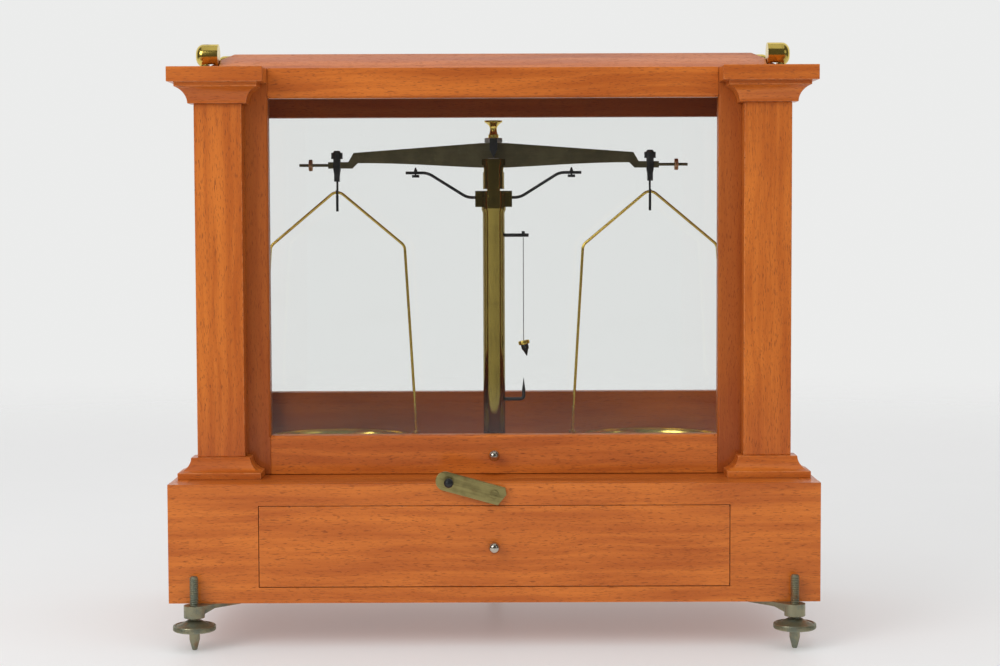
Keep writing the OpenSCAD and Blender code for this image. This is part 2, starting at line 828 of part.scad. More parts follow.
// The right side of the case: front post with the sash's run, side rails,
// and a rear post bored for its counterweight
module side_frame() {
  difference() {
    union() {
      block([post_x, depth(post_front), base_top_z],
            [case_x, depth(front_post_back), case_top_z]);
      block([sash_wall_x, depth(pilaster_back + pilaster_t), base_top_z],
            [case_x, depth(post_front), case_top_z]);
      block([post_x, depth(rear_post_front), base_top_z],
            [case_x, depth(case_back), case_top_z]);
      block([case_x - rail_t, depth(front_post_back), base_top_z],
            [case_x, depth(rear_post_front), low_rail_z]);
      block([case_x - rail_t, depth(front_post_back), high_rail_z],
            [case_x, depth(rear_post_front), case_top_z]);
    }
    // Slot for the sash cord
    block([cord_x - pulley_t / 2, depth(post_front - cut), base_top_z - cut],
          [sash_wall_x, depth(post_front + cord_slot_d), case_top_z + cut]);
    // Channel for the counterweight
    block([channel_x, channel_y, base_top_z - cut],
          [case_x - channel_wall, depth(case_back - channel_wall), case_top_z + cut]);
    side_pane(slide_gap);
    back_pane(slide_gap);
  }
}

module side_frame_left() {
  color(mahogany)
    on_left()
      side_frame();
}

module side_frame_right() {
  color(mahogany)
    side_frame();
}

// A pane of the right side, grown by a clearance for its groove
module side_pane(gap) {
  block([glass_x - case_glass_t / 2 - gap, depth(front_post_back - glass_bite - gap),
         low_rail_z - glass_bite - gap],
        [glass_x + case_glass_t / 2 + gap, depth(rear_post_front + glass_bite + gap),
         high_rail_z + glass_bite + gap]);
}

module back_pane(gap) {
  block([-post_x - glass_bite - gap, depth(case_back - rail_t / 2) - case_glass_t / 2 - gap,
         low_rail_z - glass_bite - gap],
        [post_x + glass_bite + gap, depth(case_back - rail_t / 2) + case_glass_t / 2 + gap,
         high_rail_z + glass_bite + gap]);
}

// Lintel behind the sash, and the two rails of the back
module case_rails() {
  color(mahogany)
    difference() {
      union() {
        block([-post_x, depth(post_front), case_top_z - lintel_h],
              [post_x, depth(front_post_back), case_top_z]);
        block([-post_x, depth(rail_front), high_rail_z], [post_x, depth(case_back), case_top_z]);
        block([-post_x, depth(rail_front), base_top_z], [post_x, depth(case_back), low_rail_z]);
      }
      back_pane(slide_gap);
    }
}

module case_glasses() {
  color(clear_glass) {
    both_sides()
      side_pane(0);
    back_pane(0);
  }
}

// Landing of a right-hand hood on the roof board, with the cord's way down
// on the side given
module hood_landing(y, side) {
  landing = hood_r + slide_gap;
  hole = cord_slot_w;
  block([hood_x - slide_gap, y - landing - cut, landing_z],
        [case_x + cut, y + landing, case_top_z + roof_h + cut]);
  block([cord_x - hole, y + side * cord_r - hole, case_top_z - cut],
        [cord_x + hole, y + side * cord_r + hole, landing_z + cut]);
}

module roof_board() {
  field_x = case_x - roof_bevel_w;
  front_d = post_front;
  color(mahogany)
    difference() {
      translate([0, 0, case_top_z])
        intersection() {
          translate([0, depth(case_back), 0])
            rotate([90, 0, 0])
              linear_extrude(case_back - front_d)
                polygon([[-case_x, 0], [case_x, 0], [case_x, roof_edge_h],
                         [field_x, roof_h], [-field_x, roof_h],
                         [-case_x, roof_edge_h]]);
          translate([-case_x, 0, 0])
            rotate([90, 0, 90])
              linear_extrude(2 * case_x)
                polygon([[depth(front_d), 0], [depth(case_back), 0],
                         [depth(case_back), roof_edge_h],
                         [depth(case_back - roof_bevel_w), roof_h],
                         [depth(front_d + roof_bevel_w), roof_h],
                         [depth(front_d), roof_edge_h]]);
        }
      both_sides() {
        hood_landing(hood_front_y, -1);
        hood_landing(hood_rear_y, 1);
      }
    }
}

// Sash

module sash_pane(gap) {
  block([-sash_open_x - glass_bite - gap, depth(sash_back - sash_t / 2) - sash_glass_t / 2 - gap,
         sash_open_low - glass_bite - gap],
        [sash_open_x + glass_bite + gap, depth(sash_back - sash_t / 2) + sash_glass_t / 2 + gap,
         sash_open_high + glass_bite + gap]);
}

// Cutter for the bevel along the front edges of the opening
module sash_bevel_cut() {
  grow = sash_bevel + cut;
  x = sash_open_x;
  translate([0, depth(sash_front), 0])
    for (side = [-1, 1])
      translate([side * x, 0, sash_open_low - sash_bevel])
        linear_extrude(sash_open_high - sash_open_low + 2 * sash_bevel)
          polygon([[side * sash_bevel, 0], [side * (sash_bevel + cut), -cut],
                   [-side * grow, -cut], [-side * grow, grow], [0, sash_bevel]]);
  for (edge = [[sash_open_low, -1], [sash_open_high, 1]])
    translate([-x, depth(sash_front), edge[0]])
      rotate([90, 0, 90])
        linear_extrude(2 * x)
          polygon([[0, edge[1] * sash_bevel], [-cut, edge[1] * (sash_bevel + cut)],
                   [-cut, -edge[1] * cut], [sash_bevel, 0]]);
}

module sash_stiles() {
  color(mahogany)
    difference() {
      both_sides()
        block([sash_open_x, depth(sash_front), sash_z], [sash_x, depth(sash_back), sash_top_z]);
      sash_pane(slide_gap);
      sash_bevel_cut();
    }
}

module sash_top_rail() {
  color(mahogany)
    difference() {
      block([-sash_open_x, depth(sash_front), sash_open_high],
            [sash_open_x, depth(sash_back), sash_top_z]);
      sash_pane(slide_gap);
      sash_bevel_cut();
    }
}

module sash_bottom_rail() {
  color(mahogany)
    difference() {
      block([-sash_open_x, depth(sash_front), sash_z],
            [sash_open_x, depth(sash_back), sash_open_low]);
      sash_pane(slide_gap);
      sash_bevel_cut();
    }
}

module sash_glass() {
  color(clear_glass)
    sash_pane(0);
}

module sash_knob() {
  color(nickel)
    translate([0, depth(sash_front), sash_z + sash_knob_h])
      ball_knob(knob_r, knob_reach, knob_neck_r, knob_collar_r, knob_collar_t);
}

// Counterpoise

// A turned brass hood that holds its pulley on a pin; its round end points
// to +X, and side is the way along Y to the other hood
module pulley_hood(side) {
  flat_r = hood_r - hood_round_r;
  pin_l = hood_cavity_t + 2 * cut;
  difference() {
    union() {
      rotate([0, 90, 0])
        rotate_extrude($fn = 96)
          union() {
            square([hood_r, hood_l - hood_round_r]);
            square([flat_r, hood_l]);
            intersection() {
              translate([flat_r, hood_l - hood_round_r])
                circle(r = hood_round_r, $fn = 96);
              square([hood_r, hood_l]);
            }
          }
      translate([hood_l / 2, 0, landing_z - hood_axis_z])
        cylinder(h = hood_axis_z - landing_z, r = hood_foot_r, $fn = 64);
    }
    // Room for the pulley, open below
    translate([hood_wall, 0, 0])
      rotate([0, 90, 0])
        cylinder(h = hood_cavity_t, r = pulley_r + pulley_gap, $fn = 64);
    block([hood_wall, -pulley_r - pulley_gap, -hood_axis_z],
          [hood_wall + hood_cavity_t, pulley_r + pulley_gap, 0]);
    // Way out for the cord at the top of the pulley
    block([cord_x - hood_x - cord_slot_w / 2, side > 0 ? 0 : -hood_r, cord_r - cord_slot_w / 2],
          [cord_x - hood_x + cord_slot_w / 2, side > 0 ? hood_r : 0, cord_r + cord_slot_w / 2]);
  }
  translate([hood_wall - cut, 0, 0])
    rotate([0, 90, 0])
      cylinder(h = pin_l, r = pulley_pin_r, $fn = 48);
}

module pulley_hoods() {
  color(lacquered_brass)
    both_sides()
      for (side = [-1, 1])
        translate([hood_x, side > 0 ? hood_front_y : hood_rear_y, hood_axis_z])
          pulley_hood(side);
}

module pulley(y) {
  translate([cord_x - pulley_t / 2, y, hood_axis_z])
    rotate([0, 90, 0])
      rotate_extrude($fn = 96)
        difference() {
          translate([pulley_pin_r + running_fit, 0])
            square([pulley_r - pulley_pin_r - running_fit, pulley_t]);
          translate([pulley_r, pulley_t / 2])
            circle(r = pulley_groove, $fn = 48);
        }
}

module pulley_front_left() {
  color(lacquered_brass)
    on_left()
      pulley(hood_front_y);
}

module pulley_front_right() {
  color(lacquered_brass)
    pulley(hood_front_y);
}

module pulley_rear_left() {
  color(lacquered_brass)
    on_left()
      pulley(hood_rear_y);
}

module pulley_rear_right() {
  color(lacquered_brass)
    pulley(hood_rear_y);
}

// A cast weight that fills its channel, with a boss for the cord
module counterweight() {
  top_z = case_top_z - weight_drop;
  boss_r = 2.4;
  boss_h = 4;
  gap = weight_gap;
  difference() {
    union() {
      block([channel_x + gap, channel_y + gap, top_z - weight_l],
            [case_x - channel_wall - gap, depth(case_back - channel_wall) - gap, top_z]);
      translate([cord_x, weight_y, top_z])
        cylinder(h = boss_h, r = boss_r, $fn = 48);
    }
    translate([cord_x, weight_y, top_z - 2 * boss_h])
      cylinder(h = 3 * boss_h + cut, r = cord_slot_w / 2, $fn = 48);
  }
}

module counterweight_left() {
  color(cast_iron)
    on_left()
      counterweight();
}

module counterweight_right() {
  color(cast_iron)
    counterweight();
}

// Feet

// The right lug: a boss for the screw in front of the base, and a plate
// that runs back and inwards under it
module levelling_lug() {
  translate([foot_x, depth(-foot_out), stand_h])
    difference() {
      union() {
        translate([0, 0, -lug_h])
          cylinder(h = lug_h, r = lug_r, $fn = 64);
        rotate([0, 0, 45])
          translate([0, 0, -lug_plate_t]) {
            block([-lug_w / 2, 0, 0], [lug_w / 2, lug_l, lug_plate_t]);
            translate([0, lug_l, 0])
              cylinder(h = lug_plate_t, r = lug_w / 2, $fn = 64);
          }
        // Slanting web between the boss and the plate
        rotate([0, 0, 45])
          rotate([90, 0, 90])
            translate([0, 0, -lug_plate_t / 2])
              linear_extrude(lug_plate_t)
                polygon([[0, -lug_h + 1], [lug_r - 1, -lug_h + 1],
                         [lug_l * 0.6, -lug_plate_t], [0, -lug_plate_t]]);
      }
      translate([0, 0, -lug_h - cut])
        cylinder(h = lug_h + 2 * cut, r = thread_r + running_fit, $fn = 64);
    }
}

module levelling_lugs() {
  color(aged_brass)
    both_sides()
      levelling_lug();
}

// A turned screw with its disc and point, standing on the table
module levelling_screw() {
  top_z = stand_h + thread_up;
  head_top = head_z + head_t;
  straight_z = point_taper + point_end_r / 2;
  translate([foot_x, depth(-foot_out), 0])
    rotate_extrude($fn = 128) {
      translate([0, head_top])
        square([thread_r, top_z - head_top]);
      translate([0, head_z])
        square([head_r, head_t]);
      // Dished top of the disc
      polygon([[0, head_top], [head_r - head_t / 2, head_top], [thread_r * 1.6, head_top + head_rise],
               [0, head_top + head_rise]]);
      translate([0, straight_z])
        square([point_r, head_z - straight_z]);
      polygon([[0, 0], [point_end_r, 0], [point_r, straight_z], [0, straight_z]]);
    }
}

module levelling_screw_left() {
  color(aged_brass)
    on_left()
      levelling_screw();
}

module levelling_screw_right() {
  color(aged_brass)
    levelling_screw();
}

module rear_foot() {
  round_r = 1.5;
  color(aged_brass)
    translate([0, depth(base_d - rear_foot_in), 0])
      rotate_extrude($fn = 96) {
        translate([0, stand_h - rear_flange_t])
          square([rear_flange_r, rear_flange_t]);
        translate([0, rear_tread_h])
          square([rear_foot_r, stand_h - rear_flange_t - rear_tread_h]);
        translate([0, round_r])
          square([rear_tread_r, rear_tread_h - round_r]);
        polygon([[0, 0], [rear_tread_r - round_r, 0], [rear_tread_r, round_r], [0, round_r]]);
      }
}

// Column

// Moulded foot flange, with a bearing ear below it for the end of the shaft
module column_foot() {
  ear_front = cam_t / 2 + 0.8;
  ear_t = 3;
  ear_x = shaft_r + 1.6;
  spigot_top = base_top_z + column_foot_h;
  color(lacquered_brass)
    translate([0, column_y, 0])
      difference() {
        union() {
          translate([0, 0, base_top_z])
            cylinder(h = flange_t, r = flange_r, $fn = 96);
          translate([0, 0, base_top_z + flange_t])
            rotate_extrude($fn = 96)
              difference() {
                square([column_r + 5, column_foot_h - flange_t]);
                translate([column_r + 5 + 1.4, column_foot_h - flange_t])
                  circle(r = column_foot_h - flange_t - 1.6, $fn = 64);
              }
          block([-ear_x, ear_front, shaft_z - shaft_r - 1.6],
                [ear_x, ear_front + ear_t, base_top_z]);
        }
        translate([0, 0, base_top_z - cut])
          cylinder(h = spigot_top - base_top_z + 2 * cut, r = lift_rod_r + running_fit,
                   $fn = 64);
        translate([0, ear_front + ear_t + cut, shaft_z])
          rotate([90, 0, 0])
            cylinder(h = ear_t + 2 * cut, r = shaft_r + running_fit, $fn = 64);
      }
}

module column_tube() {
  low_z = base_top_z + column_foot_h;
  ring_r = column_r + 0.9;
  color(lacquered_brass)
    translate([0, column_y, 0])
      difference() {
        union() {
          translate([0, 0, low_z])
            cylinder(h = collar_z - low_z, r = column_r, $fn = 96);
          // Neck ring below the collar
          translate([0, 0, collar_z - neck_h])
            rotate_extrude($fn = 96)
              polygon([[0, 0], [column_r, 0], [ring_r, neck_h * 0.55],
                       [ring_r, neck_h], [0, neck_h]]);
        }
        translate([0, 0, low_z - cut])
          cylinder(h = collar_z - low_z + 2 * cut, r = column_bore_r, $fn = 96);
        // Holes that hold the plumb line's bracket and the index
        for (rod_z = [plumb_z, index_low_z])
          bar([0, 0, rod_z], [column_r + cut, 0, rod_z], plumb_rod_r);
      }
}

module column_collar() {
  groove = 0.4;
  groove_h = 0.8;
  color(lacquered_brass)
    translate([0, column_y, 0])
      difference() {
        union() {
          translate([0, 0, collar_z])
            cylinder(h = collar_h, r = collar_r, $fn = 96);
          block([-collar_lug_x, -collar_lug_w / 2, collar_z],
                [collar_lug_x, collar_lug_w / 2, collar_top_z]);
        }
        translate([0, 0, collar_z - cut])
          cylinder(h = collar_h + 2 * cut, r = fork_stem_r + running_fit, $fn = 96);
        // Turned groove round the collar
        translate([0, 0, collar_top_z - collar_h / 3])
          rotate_extrude($fn = 96)
            translate([collar_r - groove, 0])
              square([groove + cut / 4, groove_h]);
        both_sides()
          bar([collar_lug_x - 5, 0, arm_z], [collar_lug_x + cut, 0, arm_z], arm_r);
      }
}

// The tube that carries the beam: two prongs over a slot, on a guided stem
module bearing_fork() {
  slot_z = knife_z - fork_slot_h;
  color(lacquered_brass)
    translate([0, column_y, 0])
      difference() {
        union() {
          translate([0, 0, fork_z])
            cylinder(h = fork_top_z - fork_z, r = fork_r, $fn = 96);
          translate([0, 0, fork_top_z - fork_lip_h])
            cylinder(h = fork_lip_h, r = fork_lip_r, $fn = 96);
          translate([0, 0, stem_low_z])
            cylinder(h = fork_stem_l, r = fork_stem_r, $fn = 96);
        }
        block([-fork_lip_r - cut, -fork_slot_w / 2, slot_z],
              [fork_lip_r + cut, fork_slot_w / 2, knife_z + cut]);
        bearing_pair();
      }
}

// Agate planes set in the tops of the two prongs
module bearing_pair() {
  plane_top = knife_z - knife_gap;
  for (side = [-1, 1])
    block([-plane_w / 2, side > 0 ? fork_slot_w / 2 : -fork_r, plane_top - plane_t],
          [plane_w / 2, side > 0 ? fork_r : -fork_slot_w / 2, plane_top]);
}

module bearing_planes() {
  color(agate)
    translate([0, column_y, 0])
      bearing_pair();
}

module lift_rod() {
  low_z = cam_top_z + slide_gap;
  color(grey_steel)
    translate([0, column_y, low_z])
      cylinder(h = stem_low_z - low_z, r = lift_rod_r, $fn = 64);
}

// Arrest

// Shaft from the lever back to the column, with its cam under the lift rod
module arrest_shaft() {
  back_y = column_y + cam_t / 2 + 0.8 + 3;
  washer_r = shaft_r + 1.8;
  color(grey_steel) {
    bar([0, back_y, shaft_z], [0, lever_y, shaft_z], shaft_r);
    bar([0, depth(-slide_gap), shaft_z], [0, lever_y, shaft_z], washer_r);
    translate([0, column_y + cam_t / 2, shaft_z + cam_offset])
      rotate([90, 0, 0])
        cylinder(h = cam_t, r = cam_r, $fn = 96);
  }
}

// Places a piece in the lever's own frame: X runs along it to the round end
module on_lever(y) {
  translate([0, y, shaft_z])
    rotate([0, lever_angle, 0])
      mirror([1, 0, 0])
        children();
}

module arrest_lever() {
  half = lever_w / 2;
  clip_high = lever_tail * 0.25;
  clip_low = lever_tail * 0.47;
  color(worn_brass)
    on_lever(lever_y)
      rotate([90, 0, 0])
        linear_extrude(lever_t) {
          polygon([[lever_l - half, half], [-lever_tail + clip_high, half],
                   [-lever_tail, half / 3], [-lever_tail + clip_low, -half],
                   [lever_l - half, -half]]);
          translate([lever_l - half, 0])
            circle(r = half, $fn = 96);
        }
}

module lever_stud() {
  color(blued_steel)
    on_lever(lever_y - lever_t)
      translate([stud_l, 0, 0])
        ball_knob(stud_r, stud_r + 1.4, stud_r * 0.5, stud_r * 0.8, 0.8);
}

module lever_screw() {
  slot_w = 0.8;
  color(aged_brass)
    on_lever(lever_y - lever_t)
      rotate([90, 0, 0])
        difference() {
          cylinder(h = lever_screw_h, r = lever_screw_r, $fn = 64);
          block([-lever_screw_r - cut, -slot_w / 2, lever_screw_h / 2],
                [lever_screw_r + cut, slot_w / 2, lever_screw_h + cut]);
        }
}

// Corner points of the right arm's centre line
function arm_path() =
  let (run = (arm_end_z - arm_z) / tan(arm_slope))
  [[collar_lug_x - 5, arm_z], [arm_start_x, arm_z], [arm_start_x + run, arm_end_z],
   [arm_reach, arm_end_z]];

module arrest_arms() {
  color(blued_steel)
    translate([0, column_y, 0])
      both_sides()
        difference() {
          bent_rod(arm_path(), arm_r, arm_bend);
          translate([pin_x, 0, arm_end_z - arm_r - cut])
            cylinder(h = 2 * arm_r + 2 * cut, r = arm_pin_r, $fn = 48);
          // Flat seat for the pin's shoulder
          translate([pin_x, 0, pin_seat_z])
            cylinder(h = arm_r, r = pin_r + running_fit, $fn = 64);
        }
}

arm_pin_r = arm_r * 0.6;
pin_seat_z = arm_end_z + arm_r * 0.7;
pin_top_z = beam_low_z(pin_x) - pin_gap;

// Pointed pins through the arms, with a knurled nut below each
module arrest_pins() {
  nut_top = arm_end_z - arm_r - 0.4;
  color(lacquered_brass)
    translate([0, column_y, 0])
      both_sides()
        translate([pin_x, 0, 0]) {
          translate([0, 0, pin_seat_z])
            rotate_extrude($fn = 64)
              polygon([[0, 0], [pin_r, 0], [pin_r, pin_top_z - pin_point_h - pin_seat_z],
                       [pin_r * 0.3, pin_top_z - pin_seat_z], [0, pin_top_z - pin_seat_z]]);
          translate([0, 0, nut_top - pin_nut_h])
            cylinder(h = pin_seat_z - nut_top + pin_nut_h, r = arm_pin_r, $fn = 48);
          translate([0, 0, nut_top - pin_nut_h])
            cylinder(h = pin_nut_h, r = pin_nut_r, $fn = 64);
        }
}

// Beam

// Lower edge of the beam at a distance from the middle: it starts level,
// rises and flattens again towards the shoulder
function beam_low_z(x) =
  let (rise = pow(sin(90 * min(x / shoulder_x, 1)), 1.4))
  knife_z - beam_down + (beam_down - shoulder_down) * rise;

function half_beam_top() = [
  [crown_x, knife_z + beam_up - 0.3],
  [shoulder_x, knife_z + shoulder_up],
  [shoulder_x + joggle_run, knife_z - tongue_drop],
  [tongue_x, knife_z - tongue_drop]
];
function half_beam_low() = concat(
  [[tongue_x, knife_z - tongue_drop - tongue_h],
   [shoulder_x + joggle_run - 3, knife_z - tongue_drop - tongue_h]],
  [for (i = [8 : -1 : 0]) [(shoulder_x - 3) * i / 8, beam_low_z(shoulder_x * i / 8)]]
);

module half_beam() {
  rotate([90, 0, 0])
    linear_extrude(beam_t, center = true)
      polygon(concat([[0, knife_z + beam_up]], half_beam_top(), half_beam_low()));
}

module knife_prism() {
  rotate([90, 0, 0])
    linear_extrude(2 * knife_half_l, center = true)
      polygon([[0, knife_z], [knife_half_w, knife_z + knife_h],
               [-knife_half_w, knife_z + knife_h]]);
}

module beam() {
  color(dark_bronze)
    translate([0, column_y, 0])
      difference() {
        union() {
          both_sides() {
            half_beam();
            bar([tongue_x - cut, 0, tongue_z], [rod_x, 0, tongue_z], rod_r);
          }
        }
        knife_prism();
      }
}

module centre_knife() {
  block_z = knife_z + knife_h;
  color(blued_steel)
    translate([0, column_y, 0]) {
      knife_prism();
      for (side = [-1, 1])
        block([-clamp_half_w, side > 0 ? knife_half_l - clamp_t : -knife_half_l, block_z],
              [clamp_half_w, side > 0 ? knife_half_l : clamp_t - knife_half_l,
               block_z + clamp_h]);
    }
}

module end_knives() {
  tongue_top = knife_z - tongue_drop;
  color(grey_steel)
    translate([0, column_y, 0])
      both_sides()
        translate([end_x, 0, 0])
          rotate([90, 0, 0])
            linear_extrude(beam_t, center = true)
              polygon([[-end_knife_half_w, tongue_top], [end_knife_half_w, tongue_top],
                       [0, end_knife_z]]);
}

module lock_disc() {
  color(grey_steel)
    translate([0, column_y, lock_z])
      cylinder(h = lock_t, r = lock_r, $fn = 96);
}

// Finial nut: a foot, a narrow waist and a flared head
module gravity_nut() {
  foot_h = finial_h * 0.2;
  lip_h = finial_h * 0.1;
  rise = finial_h - foot_h - lip_h;
  color(lacquered_brass)
    translate([0, column_y, finial_z])
      rotate_extrude($fn = 96) {
        square([finial_foot_r, foot_h]);
        polygon(concat(
          [[0, foot_h]],
          [for (i = [0 : 12]) let (t = i / 12) [flare(t), foot_h + rise * t]],
          [[0, foot_h + rise]]));
        translate([0, finial_h - lip_h])
          square([finial_r, lip_h]);
      }
}

// Radius of the finial nut between its foot and its head
function flare(t) =
  finial_waist_r
  + (finial_foot_r * 0.85 - finial_waist_r) * pow(max(0, 1 - t / 0.45), 2)
  + (finial_r - finial_waist_r) * pow(max(0, (t - 0.45) / 0.55), 2.2);

module tare_nut() {
  translate([nut_x, column_y, tongue_z])
    rotate([0, 90, 0])
      difference() {
        cylinder(h = nut_t, r = nut_r, center = true, $fn = 96);
        cylinder(h = nut_t + 2 * cut, r = rod_r + running_fit, center = true, $fn = 48);
      }
}

module tare_nut_left() {
  color(blued_steel)
    on_left()
      tare_nut();
}

module tare_nut_right() {
  color(blued_steel)
    tare_nut();
}

// Stirrups and pans

// A stirrup that sits on its end knife and straddles the tongue, with a
// hook and its flat tail below
module stirrup() {
  seat_z = end_knife_z + slide_gap;
  cheek_out = cheek_in + cheek_t;
  taper_z = stirrup_z + stirrup_foot_h + 1.5;
  hook_ring = bow_wire_r + slide_gap + hook_r;
  hook_y = hook_ring;
  translate([end_x, column_y, 0]) {
    difference() {
      union() {
        translate([0, 0, seat_z])
          cylinder(h = cap_h, r = cap_r, $fn = 64);
        translate([0, 0, seat_z + cap_h])
          cylinder(h = cap_boss_h, r1 = cap_r * 0.7, r2 = cap_r * 0.5, $fn = 64);
        rotate([90, 0, 0])
          linear_extrude(2 * cheek_out, center = true)
            polygon([[-cheek_low_w / 2, stirrup_z], [cheek_low_w / 2, stirrup_z],
                     [cheek_low_w / 2, taper_z], [cheek_w / 2, taper_z + 3],
                     [cheek_w / 2, seat_z + cut], [-cheek_w / 2, seat_z + cut],
                     [-cheek_w / 2, taper_z + 3], [-cheek_low_w / 2, taper_z]]);
      }
      // Fork over the beam's tongue, up to the seat on the knife
      block([-cheek_w, -cheek_in, stirrup_z + stirrup_foot_h], [cheek_w, cheek_in, seat_z]);
    }
    // Wire down beside the bow, round under it and up on the far side
    bar([0, hook_y, bow_z], [0, hook_y, stirrup_z + cut], hook_r);
    translate([0, 0, bow_z])
      rotate([0, 90, 0])
        rotate([0, 0, -90])
          rotate_extrude(angle = 180, $fn = 96)
            translate([hook_ring, 0])
              circle(r = hook_r, $fn = 48);
    bar([0, -hook_y, bow_z], [0, -hook_y, bow_z + 2], hook_r);
    block([-tail_w / 2, -hook_r / 2, hook_z - tail_l], [tail_w / 2, hook_r / 2, hook_z]);
  }
}

module stirrup_left() {
  color(blued_steel)
    on_left()
      stirrup();
}

module stirrup_right() {
  color(blued_steel)
    stirrup();
}

// Centre line of half a bow, from its middle to the top of its spool nut
function bow_path() =
  let (peak = bow_z + bow_bend * (1 / cos(bow_slope) - 1))
  let (shoulder = peak - bow_shoulder_x * tan(bow_slope))
  [[-leg_x, pan_z + spool_h - 1], [-bow_shoulder_x, shoulder], [0, peak],
   [bow_shoulder_x, shoulder], [leg_x, pan_z + spool_h - 1]];

module bow() {
  translate([end_x, column_y, 0]) {
    bent_rod(bow_path(), bow_wire_r, bow_bend);
    for (side = [-1, 1])
      translate([side * leg_x, 0, pan_z])
        rotate_extrude($fn = 64) {
          square([spool_r, spool_h * 0.2]);
          square([spool_waist_r, spool_h]);
          translate([0, spool_h * 0.7])
            square([spool_r, spool_h * 0.3]);
        }
  }
}

module bow_left() {
  color(lacquered_brass)
    on_left()
      bow();
}

module bow_right() {
  color(lacquered_brass)
    bow();
}

// A shallow turned dish with a flat rim
module pan() {
  wall_r = pan_r - pan_rim;
  round_out = pan_round_r;
  floor_r = wall_r - round_out;
  translate([end_x, column_y, pan_floor_z])
    rotate_extrude($fn = 128) {
      square([floor_r, pan_t]);
      difference() {
        translate([floor_r, round_out])
          circle(r = round_out, $fn = 96);
        translate([floor_r, round_out])
          circle(r = round_out - pan_t, $fn = 96);
        translate([-cut, round_out])
          square([pan_r + 2 * cut, pan_r]);
        translate([-2 * pan_r, -cut])
          square([2 * pan_r + floor_r, pan_r]);
      }
      translate([wall_r - pan_t, round_out])
        square([pan_t, pan_depth - round_out]);
      translate([wall_r - pan_t, pan_depth - pan_t])
        square([pan_rim + pan_t, pan_t]);
    }
}

module pan_left() {
  color(lacquered_brass)
    on_left()
      pan();
}

module pan_right() {
  color(lacquered_brass)
    pan();
}

// Plumb line

// A steel rod out of the column, with a peg above the line
module plumb_bracket() {
  peg_h = 3;
  color(blued_steel)
    translate([0, column_y, plumb_z]) {
      difference() {
        bar([column_bore_r, 0, 0], [plumb_x + plumb_over, 0, 0], plumb_rod_r);
        cylinder(h = 4 * plumb_rod_r, r = column_bore_r, center = true, $fn = 96);
      }
      cylinder_at_line(peg_h);
    }
}

module cylinder_at_line(h) {
  translate([plumb_x, 0, 0])
    cylinder(h = h, r = plumb_rod_r * 0.9, $fn = 48);
}

// The line hangs straight, as a tube swept down through rings of points
module plumb_line() {
  rings = 40;
  sides = 8;
  r = line_t / 2;
  ring_points = [for (i = [0 : rings - 1]) for (s = [0 : sides - 1])
    [plumb_x + r * cos(360 * s / sides), column_y + r * sin(360 * s / sides),
     line_top_z - line_l * i / (rings - 1)]];
  walls = [for (i = [0 : rings - 2]) for (s = [0 : sides - 1])
    let (a = i * sides + s, b = i * sides + (s + 1) % sides)
    each [[a, b, b + sides], [a, b + sides, a + sides]]];
  top_cap = [for (s = [1 : sides - 2]) [0, s + 1, s]];
  last = (rings - 1) * sides;
  low_cap = [for (s = [1 : sides - 2]) [last, last + s, last + s + 1]];
  color(thread_colour)
    polyhedron(points = ring_points, faces = concat(walls, top_cap, low_cap));
}

module plumb_bob() {
  color(blued_steel)
    translate([plumb_x, column_y, bob_top_z])
      rotate([0, -bob_lean, 0])
        rotate_extrude($fn = 64) {
          translate([0, -bob_cap_t])
            square([bob_cap_r, bob_cap_t]);
          polygon([[0, -bob_cap_t - bob_l], [bob_r, -bob_cap_t - bob_l * 0.35],
                   [bob_r, -bob_cap_t], [0, -bob_cap_t]]);
        }
}

// A rod out of the column that turns up to a sharp point under the bob
module plumb_index() {
  straight_top = index_tip_z - index_point_h;
  color(blued_steel)
    translate([0, column_y, 0])
      difference() {
        union() {
          bent_rod([[column_bore_r, index_low_z], [plumb_x, index_low_z], [plumb_x, straight_top]],
                   plumb_rod_r, plumb_rod_r * 2);
          translate([plumb_x, 0, straight_top])
            cylinder(h = index_point_h, r1 = plumb_rod_r, r2 = 0.1, $fn = 48);
        }
        translate([0, 0, index_low_z])
          cylinder(h = 4 * plumb_rod_r, r = column_bore_r, center = true, $fn = 96);
      }
}

base_front();
base_carcase();
base_top();
drawer_guides();
drawer_front();
drawer_box();
drawer_knob();
pilasters();
capitals();
plinth_mouldings();
side_frame_left();
side_frame_right();
case_rails();
case_glasses();
roof_board();
sash_stiles();
sash_top_rail();
sash_bottom_rail();
sash_glass();
sash_knob();
pulley_hoods();
pulley_front_left();
pulley_front_right();
pulley_rear_left();
pulley_rear_right();
counterweight_left();
counterweight_right();
levelling_lugs();
levelling_screw_left();
levelling_screw_right();
rear_foot();
column_foot();
column_tube();
column_collar();
arrest_arms();
arrest_pins();
bearing_fork();
bearing_planes();
lift_rod();
arrest_shaft();
arrest_lever();
lever_stud();
lever_screw();
beam();
centre_knife();
end_knives();
lock_disc();
gravity_nut();
tare_nut_left();
tare_nut_right();
stirrup_left();
stirrup_right();
bow_left();
bow_right();
pan_left();
pan_right();
plumb_bracket();
plumb_line();
plumb_bob();
plumb_index();
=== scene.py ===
"""Finishes, fine fittings, stage and camera for the prescription balance."""
import contextlib
import json
import math

import bmesh
import bpy
from mathutils import Matrix, Vector


